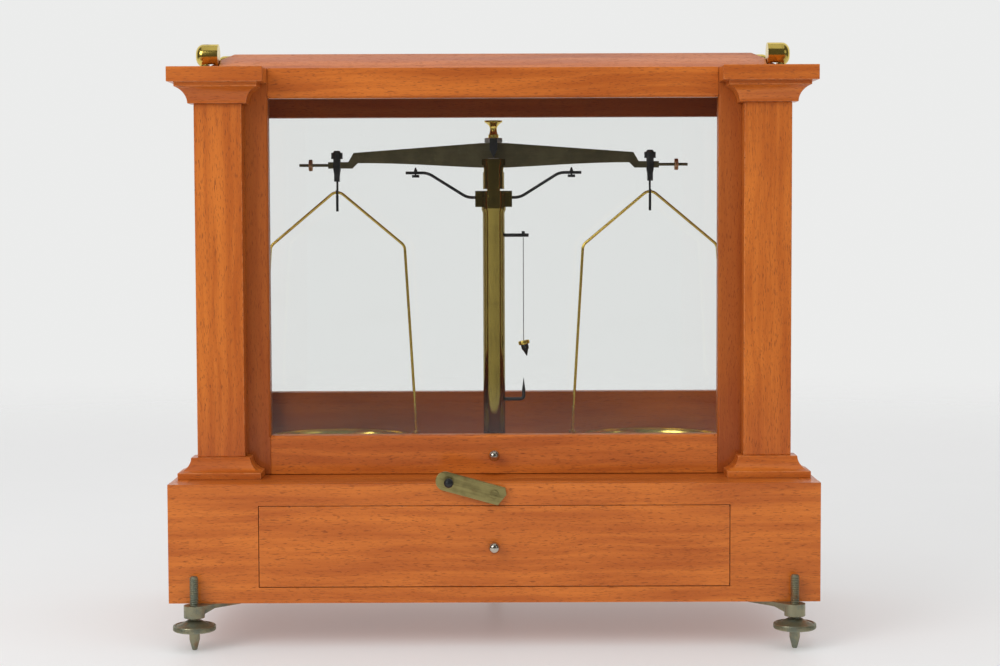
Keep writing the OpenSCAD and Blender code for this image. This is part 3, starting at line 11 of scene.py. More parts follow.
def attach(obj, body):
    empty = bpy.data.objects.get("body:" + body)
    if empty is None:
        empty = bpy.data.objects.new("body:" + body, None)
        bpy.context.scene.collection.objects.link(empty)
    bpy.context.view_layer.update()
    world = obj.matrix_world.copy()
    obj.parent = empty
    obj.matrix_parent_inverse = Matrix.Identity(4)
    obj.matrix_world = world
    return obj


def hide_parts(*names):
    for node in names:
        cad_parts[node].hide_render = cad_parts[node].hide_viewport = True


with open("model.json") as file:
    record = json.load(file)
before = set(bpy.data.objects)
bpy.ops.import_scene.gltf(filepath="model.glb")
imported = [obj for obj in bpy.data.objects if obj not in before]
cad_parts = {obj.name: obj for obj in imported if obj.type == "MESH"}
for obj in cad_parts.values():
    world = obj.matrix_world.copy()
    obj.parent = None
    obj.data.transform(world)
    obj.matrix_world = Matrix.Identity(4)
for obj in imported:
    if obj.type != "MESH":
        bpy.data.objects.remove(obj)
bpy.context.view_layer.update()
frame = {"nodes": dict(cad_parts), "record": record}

MM = 0.001

# Places in the shared frame, in millimetres
COLUMN_Y = 33.35
END_KNIFE_X = 116.5
KNIFE_Z = 340
TARE_NUT_X = 136
TONGUE_DROP = 2.5
TONGUE_HALF = 2.4
LOCK_DISC_Z = 351.5
PLUMB_X = 22
LINE_TOP_Z, LINE_LOW_Z = 281.2, 204.2
FRONT_POST_BACK_Y, REAR_POST_FRONT_Y = -18.35, 80.85
LOW_RAIL_TOP_Z, HIGH_RAIL_BOTTOM_Z = 160, 373.3

# Angles of the lever above level and of the bob from upright
LEVER_LEAN = math.radians(15.5)
BOB_LEAN = math.radians(12)

bl_info = {
    "name": "Prescription balance",
    "version": (1, 0, 0),
    "blender": (4, 5, 0),
    "location": "3D View > Sidebar > Balance",
    "description": "Dresses the packed balance with its finishes, fittings, stage and camera",
    "category": "Object",
}


# Sizes and colours that a user may change


def colour(name, description, default):
    return bpy.props.FloatVectorProperty(
        name=name, description=description, default=default, subtype="COLOR", size=3, min=0, max=1
    )


def share(name, description, default, low=0.0, high=1.0):
    return bpy.props.FloatProperty(
        name=name, description=description, default=default, min=low, max=high, subtype="FACTOR"
    )


def length(name, description, default, low=0.0, high=10.0):
    return bpy.props.FloatProperty(
        name=name, description=description, default=default, min=low, max=high,
        subtype="DISTANCE", unit="LENGTH", precision=5,
    )


class WoodFinish(bpy.types.PropertyGroup):
    pale: colour("Pale wood", "Colour of the mahogany's pale bands", (0.660, 0.180, 0.022))
    deep: colour("Deep wood", "Colour of the mahogany's dark bands", (0.450, 0.098, 0.009))
    pore: colour("Pores", "Colour of the open pores", (0.150, 0.030, 0.006))
    # The worn tone is rubbed polish; on the eased edges it also stands for a painted highlight
    worn: colour(
        "Worn wood", "Colour where the polish is rubbed from an edge", (0.720, 0.290, 0.110)
    )
    # Painted shade: a darker tint laid on boards that stand behind others, in place of the shadow
    # they lie in
    painted_shade: colour(
        "Shaded wood", "Colour of the darker boards, set behind the others", (0.200, 0.036, 0.004)
    )
    polish: share("Polish", "Strength of the polish over the wood", 0.30)
    edge: length("Eased edge", "Width of the eased edges of the boards", 0.0006, 0.0001, 0.003)


class MetalFinish(bpy.types.PropertyGroup):
    brass: colour("Lacquered brass", "Colour of the clean lacquered brass", (0.800, 0.600, 0.140))
    brown: colour(
        "Tarnish", "Colour where the lacquer has let the brass go brown", (0.260, 0.160, 0.040)
    )
    aged: colour("Aged brass", "Colour of the dull brass of the feet", (0.340, 0.320, 0.210))
    worn: colour("Worn brass", "Colour of the rubbed brass of the lever", (0.440, 0.370, 0.150))
    bronze: colour("Bronze", "Colour of the bronzed beam", (0.150, 0.130, 0.070))
    blued: colour("Blued steel", "Colour of the blackened steel", (0.060, 0.062, 0.066))
    steel: colour("Steel", "Colour of the ground steel", (0.520, 0.520, 0.500))
    nickel: colour("Nickel", "Colour of the plated knobs", (0.560, 0.520, 0.440))


class FittingSizes(bpy.types.PropertyGroup):
    pitch: length(
        "Thread pitch", "Rise of the levelling screws' thread in a turn", 0.0013, 0.0005, 0.003
    )
    knurl: length("Knurl", "Depth of the knurling on the discs", 0.00035, 0.0001, 0.001)
    metal_edge: length(
        "Eased metal", "Width of the eased edges of the metal", 0.00025, 0.00005, 0.001
    )


class StageSettings(bpy.types.PropertyGroup):
    camera_x: length("Camera side", "Camera's place to the right of the balance", 0.0044, -5)
    camera_y: length("Camera distance", "Camera's place in front of the balance", 1.51165, 0.5)
    camera_z: length("Camera height", "Camera's height over the table", 0.3016)
    tilt: bpy.props.FloatProperty(
        name="Tilt", description="Angle by which the camera looks down",
        default=math.radians(3.406),
        subtype="ANGLE",
    )
    roll: bpy.props.FloatProperty(
        name="Roll", description="Angle by which the camera leans", default=math.radians(-0.2),
        subtype="ANGLE",
    )
    lens: bpy.props.FloatProperty(
        name="Lens", description="Focal length of the lens in millimetres",
        default=74.45, min=10, max=300,
    )
    table: colour("Table", "Colour of the table", (0.640, 0.640, 0.640))
    backdrop: colour("Backdrop", "Colour behind the balance", (0.835, 0.840, 0.835))
    # Painted light: the table glows of itself, lifting the shadow under the balance and lighting it
    # a little
    glow: share("Table glow", "Light that the lit table gives of its own", 0.20)
    sky: bpy.props.FloatProperty(
        name="Room light", description="Strength of the light from all sides",
        default=0.70, min=0, max=2,
    )
    key: bpy.props.FloatProperty(
        name="Left lamp", description="Power of the lamp at the front left",
        default=12, min=0, max=200,
        unit="POWER",
    )
    fill: bpy.props.FloatProperty(
        name="Right lamp", description="Power of the lamp at the front right",
        default=1.5, min=0, max=200,
        unit="POWER",
    )
    top: bpy.props.FloatProperty(
        name="Top lamp", description="Power of the lamp overhead",
        default=3, min=0, max=200, unit="POWER",
    )


# Shader maths


class Socket:
    """An output of a shader node that can stand in a sum."""

    def __init__(self, finish, output):
        self.finish = finish
        self.output = output

    def _math(self, operation, first, second):
        return self.finish.node("ShaderNodeMath", {"operation": operation}, {0: first, 1: second})

    def __add__(self, other):
        return self._math("ADD", self, other)

    __radd__ = __add__

    def __sub__(self, other):
        return self._math("SUBTRACT", self, other)

    def __rsub__(self, other):
        return self._math("SUBTRACT", other, self)

    def __mul__(self, other):
        return self._math("MULTIPLY", self, other)

    __rmul__ = __mul__

    def __truediv__(self, other):
        return self._math("DIVIDE", self, other)

    def __abs__(self):
        return self._math("ABSOLUTE", self, 0)

    def most(self, other):
        return self._math("MAXIMUM", self, other)


class Finish:
    """A node tree in the making: a material's or the world's."""

    def __init__(self, owner):
        owner.use_nodes = True
        self.owner = owner
        self.tree = owner.node_tree
        self.tree.nodes.clear()

    def node(self, kind, settings=None, inputs=None, output=0):
        node = self.tree.nodes.new(kind)
        for key, value in (settings or {}).items():
            if key == "stops":
                elements = node.color_ramp.elements
                elements.remove(elements[1])
                elements[0].position, elements[0].color = value[0][0], (*value[0][1], 1)
                for at, tint in value[1:]:
                    elements.new(at).color = (*tint, 1)
            else:
                setattr(node, key, value)
        for key, value in (inputs or {}).items():
            socket = node.inputs[key]
            if isinstance(value, Socket):
                self.tree.links.new(value.output, socket)
            elif socket.type == "RGBA" and len(value) == 3:
                socket.default_value = (*value, 1)
            else:
                socket.default_value = value
        return Socket(self, node.outputs[output])

    def place(self):
        return self.node("ShaderNodeTexCoord", output="Object")

    def part(self, vector, axis):
        return self.node("ShaderNodeSeparateXYZ", None, {0: vector}, output=axis)

    def moved(self, vector, shift=(0, 0, 0), turn=(0, 0, 0), scale=(1, 1, 1)):
        return self.node(
            "ShaderNodeMapping", None,
            {"Vector": vector, "Location": shift, "Rotation": turn, "Scale": scale},
        )

    def noise(self, vector, scale=(1, 1, 1), detail=2.0, roughness=0.5):
        if isinstance(scale, (int, float)):
            scale = (scale, scale, scale)
        return self.node(
            "ShaderNodeTexNoise", None,
            {"Vector": self.moved(vector, scale=scale), "Scale": 1, "Detail": detail,
             "Roughness": roughness},
        )

    def step(self, value, low, high):
        return self.node(
            "ShaderNodeMapRange", {"interpolation_type": "SMOOTHSTEP"},
            {0: value, 1: low, 2: high, 3: 0, 4: 1},
        )

    def mix(self, factor, first, second):
        return self.node(
            "ShaderNodeMix", {"data_type": "RGBA"}, {0: factor, 6: first, 7: second}, output=2
        )

    def bump(self, height, depth, strength=1.0):
        return self.node(
            "ShaderNodeBump", None, {"Height": height, "Distance": depth, "Strength": strength}
        )

    def principled(self, **inputs):
        names = {
            key.replace("_", " ").title().replace("Ior", "IOR"): value
            for key, value in inputs.items()
        }
        return self.node("ShaderNodeBsdfPrincipled", None, names)

    def surface(self, shader):
        is_world = isinstance(self.owner, bpy.types.World)
        kind = "ShaderNodeOutputWorld" if is_world else "ShaderNodeOutputMaterial"
        self.node_last(kind, shader)
        return self.owner

    def node_last(self, kind, shader):
        last = self.tree.nodes.new(kind)
        self.tree.links.new(shader.output, last.inputs[0])


def new_finish(name):
    return Finish(bpy.data.materials.new(name))


# Wood

GRAIN_TURN = {"x": (0, 0, 0), "y": (0, 0, -math.pi / 2), "z": (0, math.pi / 2, 0)}


def grain_place(finish, place, grain, shift):
    """Coordinates whose X runs along the grain."""
    return finish.moved(place, shift=shift, turn=GRAIN_TURN[grain])


def wood_surface(finish, place, worn=0.0, painted_shade=0.0, joint=None):
    """French-polished mahogany on coordinates whose X runs along the grain, with painted shade on
    boards set back and, on eased edges, rubbed polish that is also a painted highlight.
    """
    wood = bpy.context.scene.balance_wood
    sway = finish.noise(place, (4, 13, 13), 2)
    drift = finish.node("ShaderNodeCombineXYZ", None, {0: 0, 1: sway * 0.03, 2: sway * 0.03})
    wavy = finish.node("ShaderNodeVectorMath", {"operation": "ADD"}, {0: place, 1: drift})
    growth = finish.noise(wavy, (5, 170, 170), 4, 0.6)
    ribbon = finish.noise(wavy, (9, 42, 42), 1.5)
    fibre = finish.noise(place, (45, 1100, 1100), 3, 0.6)
    pores = finish.step(finish.noise(wavy, (210, 2300, 2300), 1.5), 0.585, 0.68)
    cloud = finish.noise(place, 11, 3, 0.55)
    rubs = finish.step(
        finish.noise(finish.moved(place, turn=(0.4, 0.7, 0.9)), (22, 1500, 1500), 1), 0.74, 0.80
    )

    bands = finish.step(growth * 0.6 + ribbon * 0.4, 0.34, 0.66)
    tint = finish.mix(bands, wood.deep, wood.pale)
    tint = finish.mix(finish.step(fibre, 0.42, 0.72) * 0.22, tint, wood.deep)
    tint = finish.mix(pores * (0.35 + growth * 0.5), tint, wood.pore)
    tint = finish.mix(finish.step(cloud, 0.52, 0.78) * 0.25, tint, wood.deep)
    tint = finish.mix(rubs * 0.16, tint, wood.worn)
    # Painted shade: boards set behind others are darkened towards the shaded tint, unevenly along
    # the growth rings
    if painted_shade:
        tint = finish.mix(growth * 0.2 + (painted_shade - 0.1), tint, wood.painted_shade)
    # Eased edges: lighter in patches, as rubbed polish and as a painted highlight, with dark nicks
    if worn:
        rubbed = finish.step(finish.noise(place, 260, 3), 0.38, 0.62)
        tint = finish.mix(rubbed * worn, tint, wood.worn)
        nicks = finish.step(finish.noise(place, 520, 2), 0.66, 0.70)
        tint = finish.mix(nicks * 0.8, tint, wood.pore)
    if joint is not None:
        tint = finish.mix(joint * 0.85, tint, wood.pore)

    height = fibre * 0.10 - pores * 0.35 + cloud * 1.2
    if joint is not None:
        height = height - joint
    return finish.surface(finish.principled(
        base_color=tint,
        roughness=0.30 + fibre * 0.10 + pores * 0.22 + cloud * 0.06,
        normal=finish.bump(height, 0.00012, 0.55),
        coat_weight=wood.polish * (1 - pores * 0.7),
        coat_roughness=0.11,
        specular_ior_level=0.26,
    ))


def mahogany(name, grain, shift=(0, 0, 0), worn=0.0, painted_shade=0.0):
    finish = new_finish(name)
    return wood_surface(finish, grain_place(finish, finish.place(), grain, shift), worn, painted_shade)


def mahogany_frame(name, middle, half, low_rail, high_rail, shift=(0, 0, 0)):
    """Wood of a side frame: its posts run up, its rails run back, with a line at each joint."""
    finish = new_finish(name)
    place = finish.place()
    out = abs(finish.part(place, 1) - middle) - half
    z = finish.part(place, 2)
    upright = finish.step(out, -0.00002, 0.00002)
    in_low_rail = finish.step(z, low_rail, low_rail - 0.0002)
    in_rails = in_low_rail.most(finish.step(z, high_rail, high_rail + 0.0002))
    joint = finish.step(abs(out), 0.00022, 0.00008) * in_rails
    mixed = finish.node(
        "ShaderNodeMix", {"data_type": "VECTOR"},
        {0: upright, 4: grain_place(finish, place, "y", shift),
         5: grain_place(finish, place, "z", shift)},
        output=1,
    )
    return wood_surface(finish, mixed, joint=joint)


# Metal


def brass(name, polish=0.15, tarnish=0.5, streaks=(500, 500, 9), lines=(2, 2, 2600), painted_darkening=1.0):
    """Lacquered brass with brown flecks, faint streaks and fine lines from turning or drawing."""
    metal = bpy.context.scene.balance_metal
    finish = new_finish(name)
    place = finish.place()
    cloud = finish.noise(place, 55, 4, 0.6)
    streak = finish.noise(place, streaks, 3, 0.6)
    fleck = finish.step(finish.noise(place, 900, 2), 0.63, 0.72)
    line = finish.noise(place, lines, 2, 0.7)
    dull = finish.step(cloud * 0.6 + streak * 0.4, 0.46, 0.72) * tarnish
    # painted_darkening scales the whole colour down, a painted shade for dark surroundings that
    # polished brass reflects
    clean, brown = ([v * painted_darkening for v in tint] for tint in (metal.brass, metal.brown))
    tint = finish.mix(dull, clean, brown)
    tint = finish.mix(fleck * 0.55 * tarnish, tint, brown)
    return finish.surface(finish.principled(
        base_color=tint,
        metallic=1.0,
        roughness=polish + dull * 0.14 + fleck * 0.12 + line * 0.03,
        normal=finish.bump(line * 0.3 + streak * 0.3 + cloud * 2, 0.00001, 0.45),
    ))


def turned_dish(name, x):
    """Bright brass of a pan: rings from the lathe about its own middle, with worn patches."""
    metal = bpy.context.scene.balance_metal
    finish = new_finish(name)
    place = finish.moved(finish.place(), shift=(-x, -COLUMN_Y * MM, 0))
    radius = finish.node("ShaderNodeVectorMath", {"operation": "LENGTH"},
                         {0: finish.moved(place, scale=(1, 1, 0))}, output=1)
    rings = finish.noise(finish.node("ShaderNodeCombineXYZ", None, {0: radius, 1: 0, 2: 0}),
                         (1900, 1, 1), 3, 0.7)
    cloud = finish.noise(place, 38, 4, 0.6)
    fleck = finish.step(finish.noise(place, 700, 2), 0.64, 0.72)
    dull = finish.step(cloud, 0.50, 0.74) * 0.55
    tint = finish.mix(dull, metal.brass, metal.brown)
    tint = finish.mix(fleck * 0.4, tint, metal.brown)
    return finish.surface(finish.principled(
        base_color=tint,
        metallic=1.0,
        roughness=0.16 + dull * 0.25 + rings * 0.06,
        normal=finish.bump(rings * 0.6 + cloud * 3, 0.00002, 0.5),
    ))


def aged_brass(name):
    """Dull brass with grey-green film and brown where hands and dirt have been."""
    metal = bpy.context.scene.balance_metal
    finish = new_finish(name)
    place = finish.place()
    cloud = finish.noise(place, 130, 4, 0.65)
    patch = finish.noise(finish.moved(place, shift=(3, 1, 2)), 75, 3, 0.6)
    grit = finish.noise(place, 1500, 3, 0.7)
    film = finish.step(cloud, 0.42, 0.66)
    tint = finish.mix(film * 0.8, metal.aged, (0.240, 0.270, 0.220))
    tint = finish.mix(finish.step(patch, 0.56, 0.72) * 0.75, tint, (0.330, 0.165, 0.070))
    tint = finish.mix(finish.step(grit, 0.60, 0.75) * 0.5, tint, (0.080, 0.070, 0.045))
    return finish.surface(finish.principled(
        base_color=tint,
        metallic=0.9,
        roughness=0.34 + film * 0.18 + grit * 0.12,
        normal=finish.bump(grit * 0.7 + cloud, 0.00005, 0.5),
    ))


def worn_brass(name, lean):
    """Rubbed brass of the lever, brushed along its length, with patches of dark film."""
    metal = bpy.context.scene.balance_metal
    finish = new_finish(name)
    place = finish.moved(finish.place(), turn=(0, lean, 0))
    brush = finish.noise(place, (35, 1200, 1200), 4, 0.7)
    wide = finish.noise(place, (18, 190, 190), 3, 0.6)
    cloud = finish.noise(place, 90, 3, 0.6)
    film = finish.step(wide * 0.6 + cloud * 0.4, 0.42, 0.62)
    tint = finish.mix(film * 0.75, metal.worn, (0.200, 0.170, 0.070))
    tint = finish.mix(finish.step(cloud, 0.60, 0.76) * 0.6, tint, (0.330, 0.130, 0.045))
    tint = finish.mix(finish.step(brush, 0.50, 0.78) * 0.5, tint, (0.160, 0.140, 0.065))
    return finish.surface(finish.principled(
        base_color=tint,
        metallic=1.0,
        roughness=0.30 + film * 0.12 + brush * 0.10,
        normal=finish.bump(brush, 0.00004, 0.5),
    ))


def dark_metal(name, tint_low, tint_high, metallic, rough, grain=(900, 900, 900), depth=0.00003):
    """Bronzed, blued or ground metal: a tint that drifts, fine grain and rubbed spots."""
    finish = new_finish(name)
    place = finish.place()
    cloud = finish.noise(place, 85, 4, 0.6)
    fine = finish.noise(place, grain, 3, 0.65)
    spots = finish.step(finish.noise(place, 620, 2), 0.66, 0.74)
    tint = finish.mix(finish.step(cloud * 0.7 + fine * 0.3, 0.38, 0.66), tint_low, tint_high)
    tint = finish.mix(spots * 0.35, tint, [min(1, 1.7 * v) for v in tint_high])
    return finish.surface(finish.principled(
        base_color=tint,
        metallic=metallic,
        roughness=rough + cloud * 0.12 + fine * 0.10 - spots * 0.08,
        normal=finish.bump(fine * 0.6 + cloud, depth, 0.5),
    ))


def polished(name, tint, rough):
    """Plated and polished metal with faint wipe marks."""
    finish = new_finish(name)
    place = finish.place()
    cloud = finish.noise(place, 240, 4, 0.6)
    wipes = finish.noise(place, (300, 1800, 1800), 2, 0.6)
    low = [v * 0.72 for v in tint]
    return finish.surface(finish.principled(
        base_color=finish.mix(finish.step(cloud, 0.45, 0.75), tint, low),
        metallic=1.0,
        roughness=rough + cloud * 0.08 + wipes * 0.05,
        normal=finish.bump(wipes, 0.00001, 0.3),
    ))


def glass(name):
    """Clear sheet glass with faint smears. It casts no shadow of its own."""
    finish = new_finish(name)
    place = finish.place()
    smear = finish.step(finish.noise(place, (9, 9, 26), 4, 0.65), 0.55, 0.80)
    pane = finish.principled(
        base_color=finish.mix(smear * 0.5, (0.985, 0.995, 0.990), (0.955, 0.965, 0.955)),
        roughness=smear * 0.035,
        transmission_weight=1.0,
        ior=1.46,
        normal=finish.bump(finish.noise(place, 14, 2), 0.0004, 0.12),
    )
    through = finish.node("ShaderNodeBsdfTransparent", None, {"Color": (0.93, 0.95, 0.94)})
    shadow = finish.node("ShaderNodeLightPath", output="Is Shadow Ray")
    return finish.surface(finish.node(
        "ShaderNodeMixShader", None, {0: shadow, 1: pane, 2: through}
    ))


def agate(name):
    finish = new_finish(name)
    place = finish.place()
    bands = finish.noise(place, (180, 180, 1400), 3, 0.6)
    return finish.surface(finish.principled(
        base_color=finish.mix(
            finish.step(bands, 0.40, 0.62), (0.10, 0.07, 0.06), (0.33, 0.28, 0.25)
        ),
        roughness=0.10 + bands * 0.08,
        coat_weight=0.5,
        coat_roughness=0.05,
    ))


def twisted_thread(name):
    """Silk line: fine twist and fuzz."""
    finish = new_finish(name)
    place = finish.place()
    twist = finish.noise(place, (3000, 3000, 1700), 2, 0.7)
    return finish.surface(finish.principled(
        base_color=finish.mix(twist, (0.10, 0.10, 0.10), (0.32, 0.32, 0.31)),
        roughness=0.62 + twist * 0.2,
        normal=finish.bump(twist, 0.00004, 0.6),
    ))


FINISHES = {}


def finish_of(name):
    """The named finish, made when it is first asked for."""
    if name not in FINISHES:
        metal = bpy.context.scene.balance_metal
        makers = {
            # The column's brass is darkened to a third, a painted dark reflection of its
            # surroundings
            "column_brass": lambda: brass(name, 0.07, 0.35, (500, 500, 9), (1400, 1400, 12), 0.32),
            "wire_brass": lambda: brass(name, 0.20, 0.55, (300, 300, 300), (900, 900, 900)),
            "turned_brass": lambda: brass(name, 0.15, 0.55, (200, 200, 60)),
            "hood_brass": lambda: brass(name, 0.15, 0.95, (120, 120, 60)),
            "copper_nut": lambda: dark_metal(
                name, (0.36, 0.20, 0.11), (0.62, 0.38, 0.22), 1.0, 0.26),
            "aged_brass": lambda: aged_brass(name),
            "worn_brass": lambda: worn_brass(name, -LEVER_LEAN),
            "bronze": lambda: dark_metal(
                name, [v * 0.72 for v in metal.bronze], metal.bronze, 0.85, 0.34, (60, 900, 900)),
            "blued_steel": lambda: dark_metal(
                name, [v * 0.6 for v in metal.blued], metal.blued, 0.8, 0.30),
            "ground_steel": lambda: dark_metal(
                name, [v * 0.7 for v in metal.steel], metal.steel, 1.0, 0.26,
                (300, 2400, 2400), 0.00002),
            "nickel": lambda: polished(name, metal.nickel, 0.09),
            "glass": lambda: glass(name),
            "agate": lambda: agate(name),
            "cast_iron": lambda: dark_metal(
                name, (0.030, 0.030, 0.032), (0.075, 0.073, 0.070), 0.6, 0.5),
            "thread": lambda: twisted_thread(name),
            "pan_left_brass": lambda: turned_dish(name, -END_KNIFE_X * MM),
            "pan_right_brass": lambda: turned_dish(name, END_KNIFE_X * MM),
        }
        FINISHES[name] = makers[name]()
    return FINISHES[name]


def wood_of(name, grain, shift, worn=0.0, painted_shade=0.0):
    if name not in FINISHES:
        FINISHES[name] = mahogany(name, grain, shift, worn, painted_shade)
    return FINISHES[name]


# Modelling


def select_only(piece):
    if bpy.context.object and bpy.context.object.mode != "OBJECT":
        bpy.ops.object.mode_set(mode="OBJECT")
    bpy.ops.object.select_all(action="DESELECT")
    piece.select_set(True)
    bpy.context.view_layer.objects.active = piece


@contextlib.contextmanager
def editing(piece, mode="FACE"):
    select_only(piece)
    bpy.ops.object.mode_set(mode="EDIT")
    bpy.ops.mesh.select_mode(type=mode)
    bpy.ops.mesh.select_all(action="DESELECT")
    yield
    bpy.ops.object.mode_set(mode="OBJECT")


def pick(piece, kind, test):
    """Selects the faces or edges of a piece that pass a test on their place."""
    mesh = bmesh.from_edit_mesh(piece.data)
    for item in getattr(mesh, kind):
        item.select_set(bool(test(item)))
    bmesh.update_edit_mesh(piece.data)


def apply_modifier(piece, kind, **settings):
    modifier = piece.modifiers.new(kind.lower(), kind)
    for key, value in settings.items():
        setattr(modifier, key, value)
    select_only(piece)
    bpy.ops.object.modifier_apply(modifier=modifier.name)


def settle(piece):
    select_only(piece)
    bpy.ops.object.transform_apply(location=True, rotation=True, scale=True)


def dress(piece, body, finishes, stands_for=()):
    """Gives a piece its finishes, its body and the CAD nodes that it stands for."""
    piece.data.materials.clear()
    for material in finishes:
        piece.data.materials.append(material)
    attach(piece, body)
    if stands_for:
        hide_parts(*stands_for)
    return piece


def body_of(node):
    for body, nodes in frame["record"]["behaviour"]["bodies"].items():
        if node in nodes:
            return body
    raise RuntimeError(f"no body holds {node}")


def eased(node, width, finishes, chooser=None, edge_finish=None, angle=38, segments=2):
    """A copy of a CAD node with its sharp edges eased. It stands for the node."""
    source = frame["nodes"][node]
    piece = bpy.data.objects.new(node + ".eased", source.data.copy())
    bpy.context.scene.collection.objects.link(piece)
    piece.data.materials.clear()
    with editing(piece):
        bpy.ops.mesh.select_all(action="SELECT")
        bpy.ops.mesh.customdata_custom_splitnormals_clear()
        bpy.ops.mesh.remove_doubles(threshold=0.000004)
        bpy.ops.mesh.dissolve_limited(angle_limit=math.radians(0.3))
        bpy.ops.mesh.normals_make_consistent(inside=False)
    all_finishes = list(finishes) + ([edge_finish] if edge_finish else [])
    for polygon in piece.data.polygons:
        polygon.material_index = chooser(polygon.center, polygon.normal) if chooser else 0
    dress(piece, body_of(node), all_finishes, [node])
    select_only(piece)
    bpy.ops.object.shade_smooth()
    apply_modifier(
        piece, "BEVEL", width=width, segments=segments, limit_method="ANGLE",
        angle_limit=math.radians(angle), harden_normals=True, use_clamp_overlap=True,
        material=len(finishes) if edge_finish else -1,
    )
    return piece


def keep(node, finish):
    """The CAD node stays as it is, and takes a finish."""
    piece = frame["nodes"][node]
    if not piece.material_slots:
        piece.data.materials.append(finish)
    for place in piece.material_slots:
        place.material = finish
    return piece


def outline(name, points):
    """A line of edges through points (x, z) in millimetres, drawn by extruding one vertex."""
    x, z = points[0]
    bpy.ops.object.select_all(action="DESELECT")
    bpy.ops.mesh.primitive_plane_add(size=0.001, location=(x * MM, 0, z * MM))
    piece = bpy.context.object
    piece.name = name
    settle(piece)
    with editing(piece, "VERT"):
        bpy.ops.mesh.select_all(action="SELECT")
        bpy.ops.mesh.merge(type="CENTER")
        for (x0, z0), (x1, z1) in zip(points, points[1:]):
            bpy.ops.mesh.extrude_vertices_move(
                TRANSFORM_OT_translate={"value": ((x1 - x0) * MM, 0, (z1 - z0) * MM)}
            )
    return piece


def turned(name, points, steps=96):
    """A turned shape about Z, from its outline as (radius, height) in millimetres."""
    piece = outline(name, points)
    with editing(piece, "VERT"):
        bpy.ops.mesh.select_all(action="SELECT")
        bpy.ops.mesh.spin(steps=steps, angle=2 * math.pi, center=(0, 0, 0), axis=(0, 0, 1))
        bpy.ops.mesh.select_all(action="SELECT")
        bpy.ops.mesh.remove_doubles(threshold=0.000001)
        bpy.ops.mesh.select_all(action="SELECT")
        bpy.ops.mesh.normals_make_consistent(inside=False)
    return piece


def knurl(piece, low, high, steps, depth):
    """Presses every second face of a rim inwards, between two heights in millimetres."""
    with editing(piece):
        pick(piece, "faces", lambda face: low < face.calc_center_median().z / MM < high
             and abs(face.normal.z) < 0.1
             and face.normal.dot(face.calc_center_median().to_2d().to_3d()) > 0
             and int(math.atan2(face.calc_center_median().y, face.calc_center_median().x)
                     / (2 * math.pi) * steps + steps) % 2)
        bpy.ops.mesh.inset(thickness=0.00005, depth=-depth, use_individual=True)


def thread(name, radius, depth, pitch, low, turns, steps=40):
    """A screw thread about Z that starts at a height, all in millimetres."""
    inner = radius - depth
    ridge = [(inner - 0.1, low), (inner, low), (radius - depth * 0.1, low + pitch * 0.42),
             (radius - depth * 0.1, low + pitch * 0.58), (inner, low + pitch),
             (inner - 0.1, low + pitch),
             (inner - 0.1, low)]
    piece = outline(name, ridge)
    with editing(piece, "VERT"):
        bpy.ops.mesh.select_all(action="SELECT")
        bpy.ops.mesh.remove_doubles(threshold=0.000001)
    apply_modifier(piece, "SCREW", angle=2 * math.pi, screw_offset=pitch * MM, iterations=turns,
                   steps=steps, render_steps=steps, axis="Z", use_merge_vertices=False)
    with editing(piece, "VERT"):
        bpy.ops.mesh.select_all(action="SELECT")
        bpy.ops.mesh.remove_doubles(threshold=0.000001)
        bpy.ops.mesh.select_all(action="SELECT")
        bpy.ops.mesh.fill_holes(sides=8)
        bpy.ops.mesh.select_all(action="SELECT")
        bpy.ops.mesh.normals_make_consistent(inside=False)
    return piece


def joined(first, *others):
    select_only(first)
    for other in others:
        other.select_set(True)
    bpy.ops.object.join()
    return first


def smooth(piece, angle=35):
    select_only(piece)
    bpy.ops.object.shade_smooth_by_angle(angle=math.radians(angle))


def put(piece, x, y, z, turn=(0, 0, 0)):
    """Moves a finished shape to its place in millimetres."""
    piece.location = (x * MM, y * MM, z * MM)
    piece.rotation_euler = turn
    settle(piece)
    return piece


def twin(piece, name):
    """A copy with its own mesh."""
    other = piece.copy()
    other.data = piece.data.copy()
    other.name = name
    bpy.context.scene.collection.objects.link(other)
    return other


def mirrored(piece, name):
    """A copy on the other side of the centre plane."""
    other = twin(piece, name)
    other.data.transform(Matrix.Scale(-1, 4, Vector((1, 0, 0))))
    with editing(other):
        bpy.ops.mesh.select_all(action="SELECT")
        bpy.ops.mesh.normals_make_consistent(inside=False)
    return other


# Stage and camera


def area_lamp(name, place, target, size, power):
    data = bpy.data.lights.new(name, "AREA")
    data.shape = "RECTANGLE"
    data.size, data.size_y = size
    data.energy = power
    lamp = bpy.data.objects.new(name, data)
    lamp.location = place
    lamp.rotation_euler = (Vector(target) - Vector(place)).to_track_quat("-Z", "Y").to_euler()
    bpy.context.scene.collection.objects.link(lamp)
    return lamp


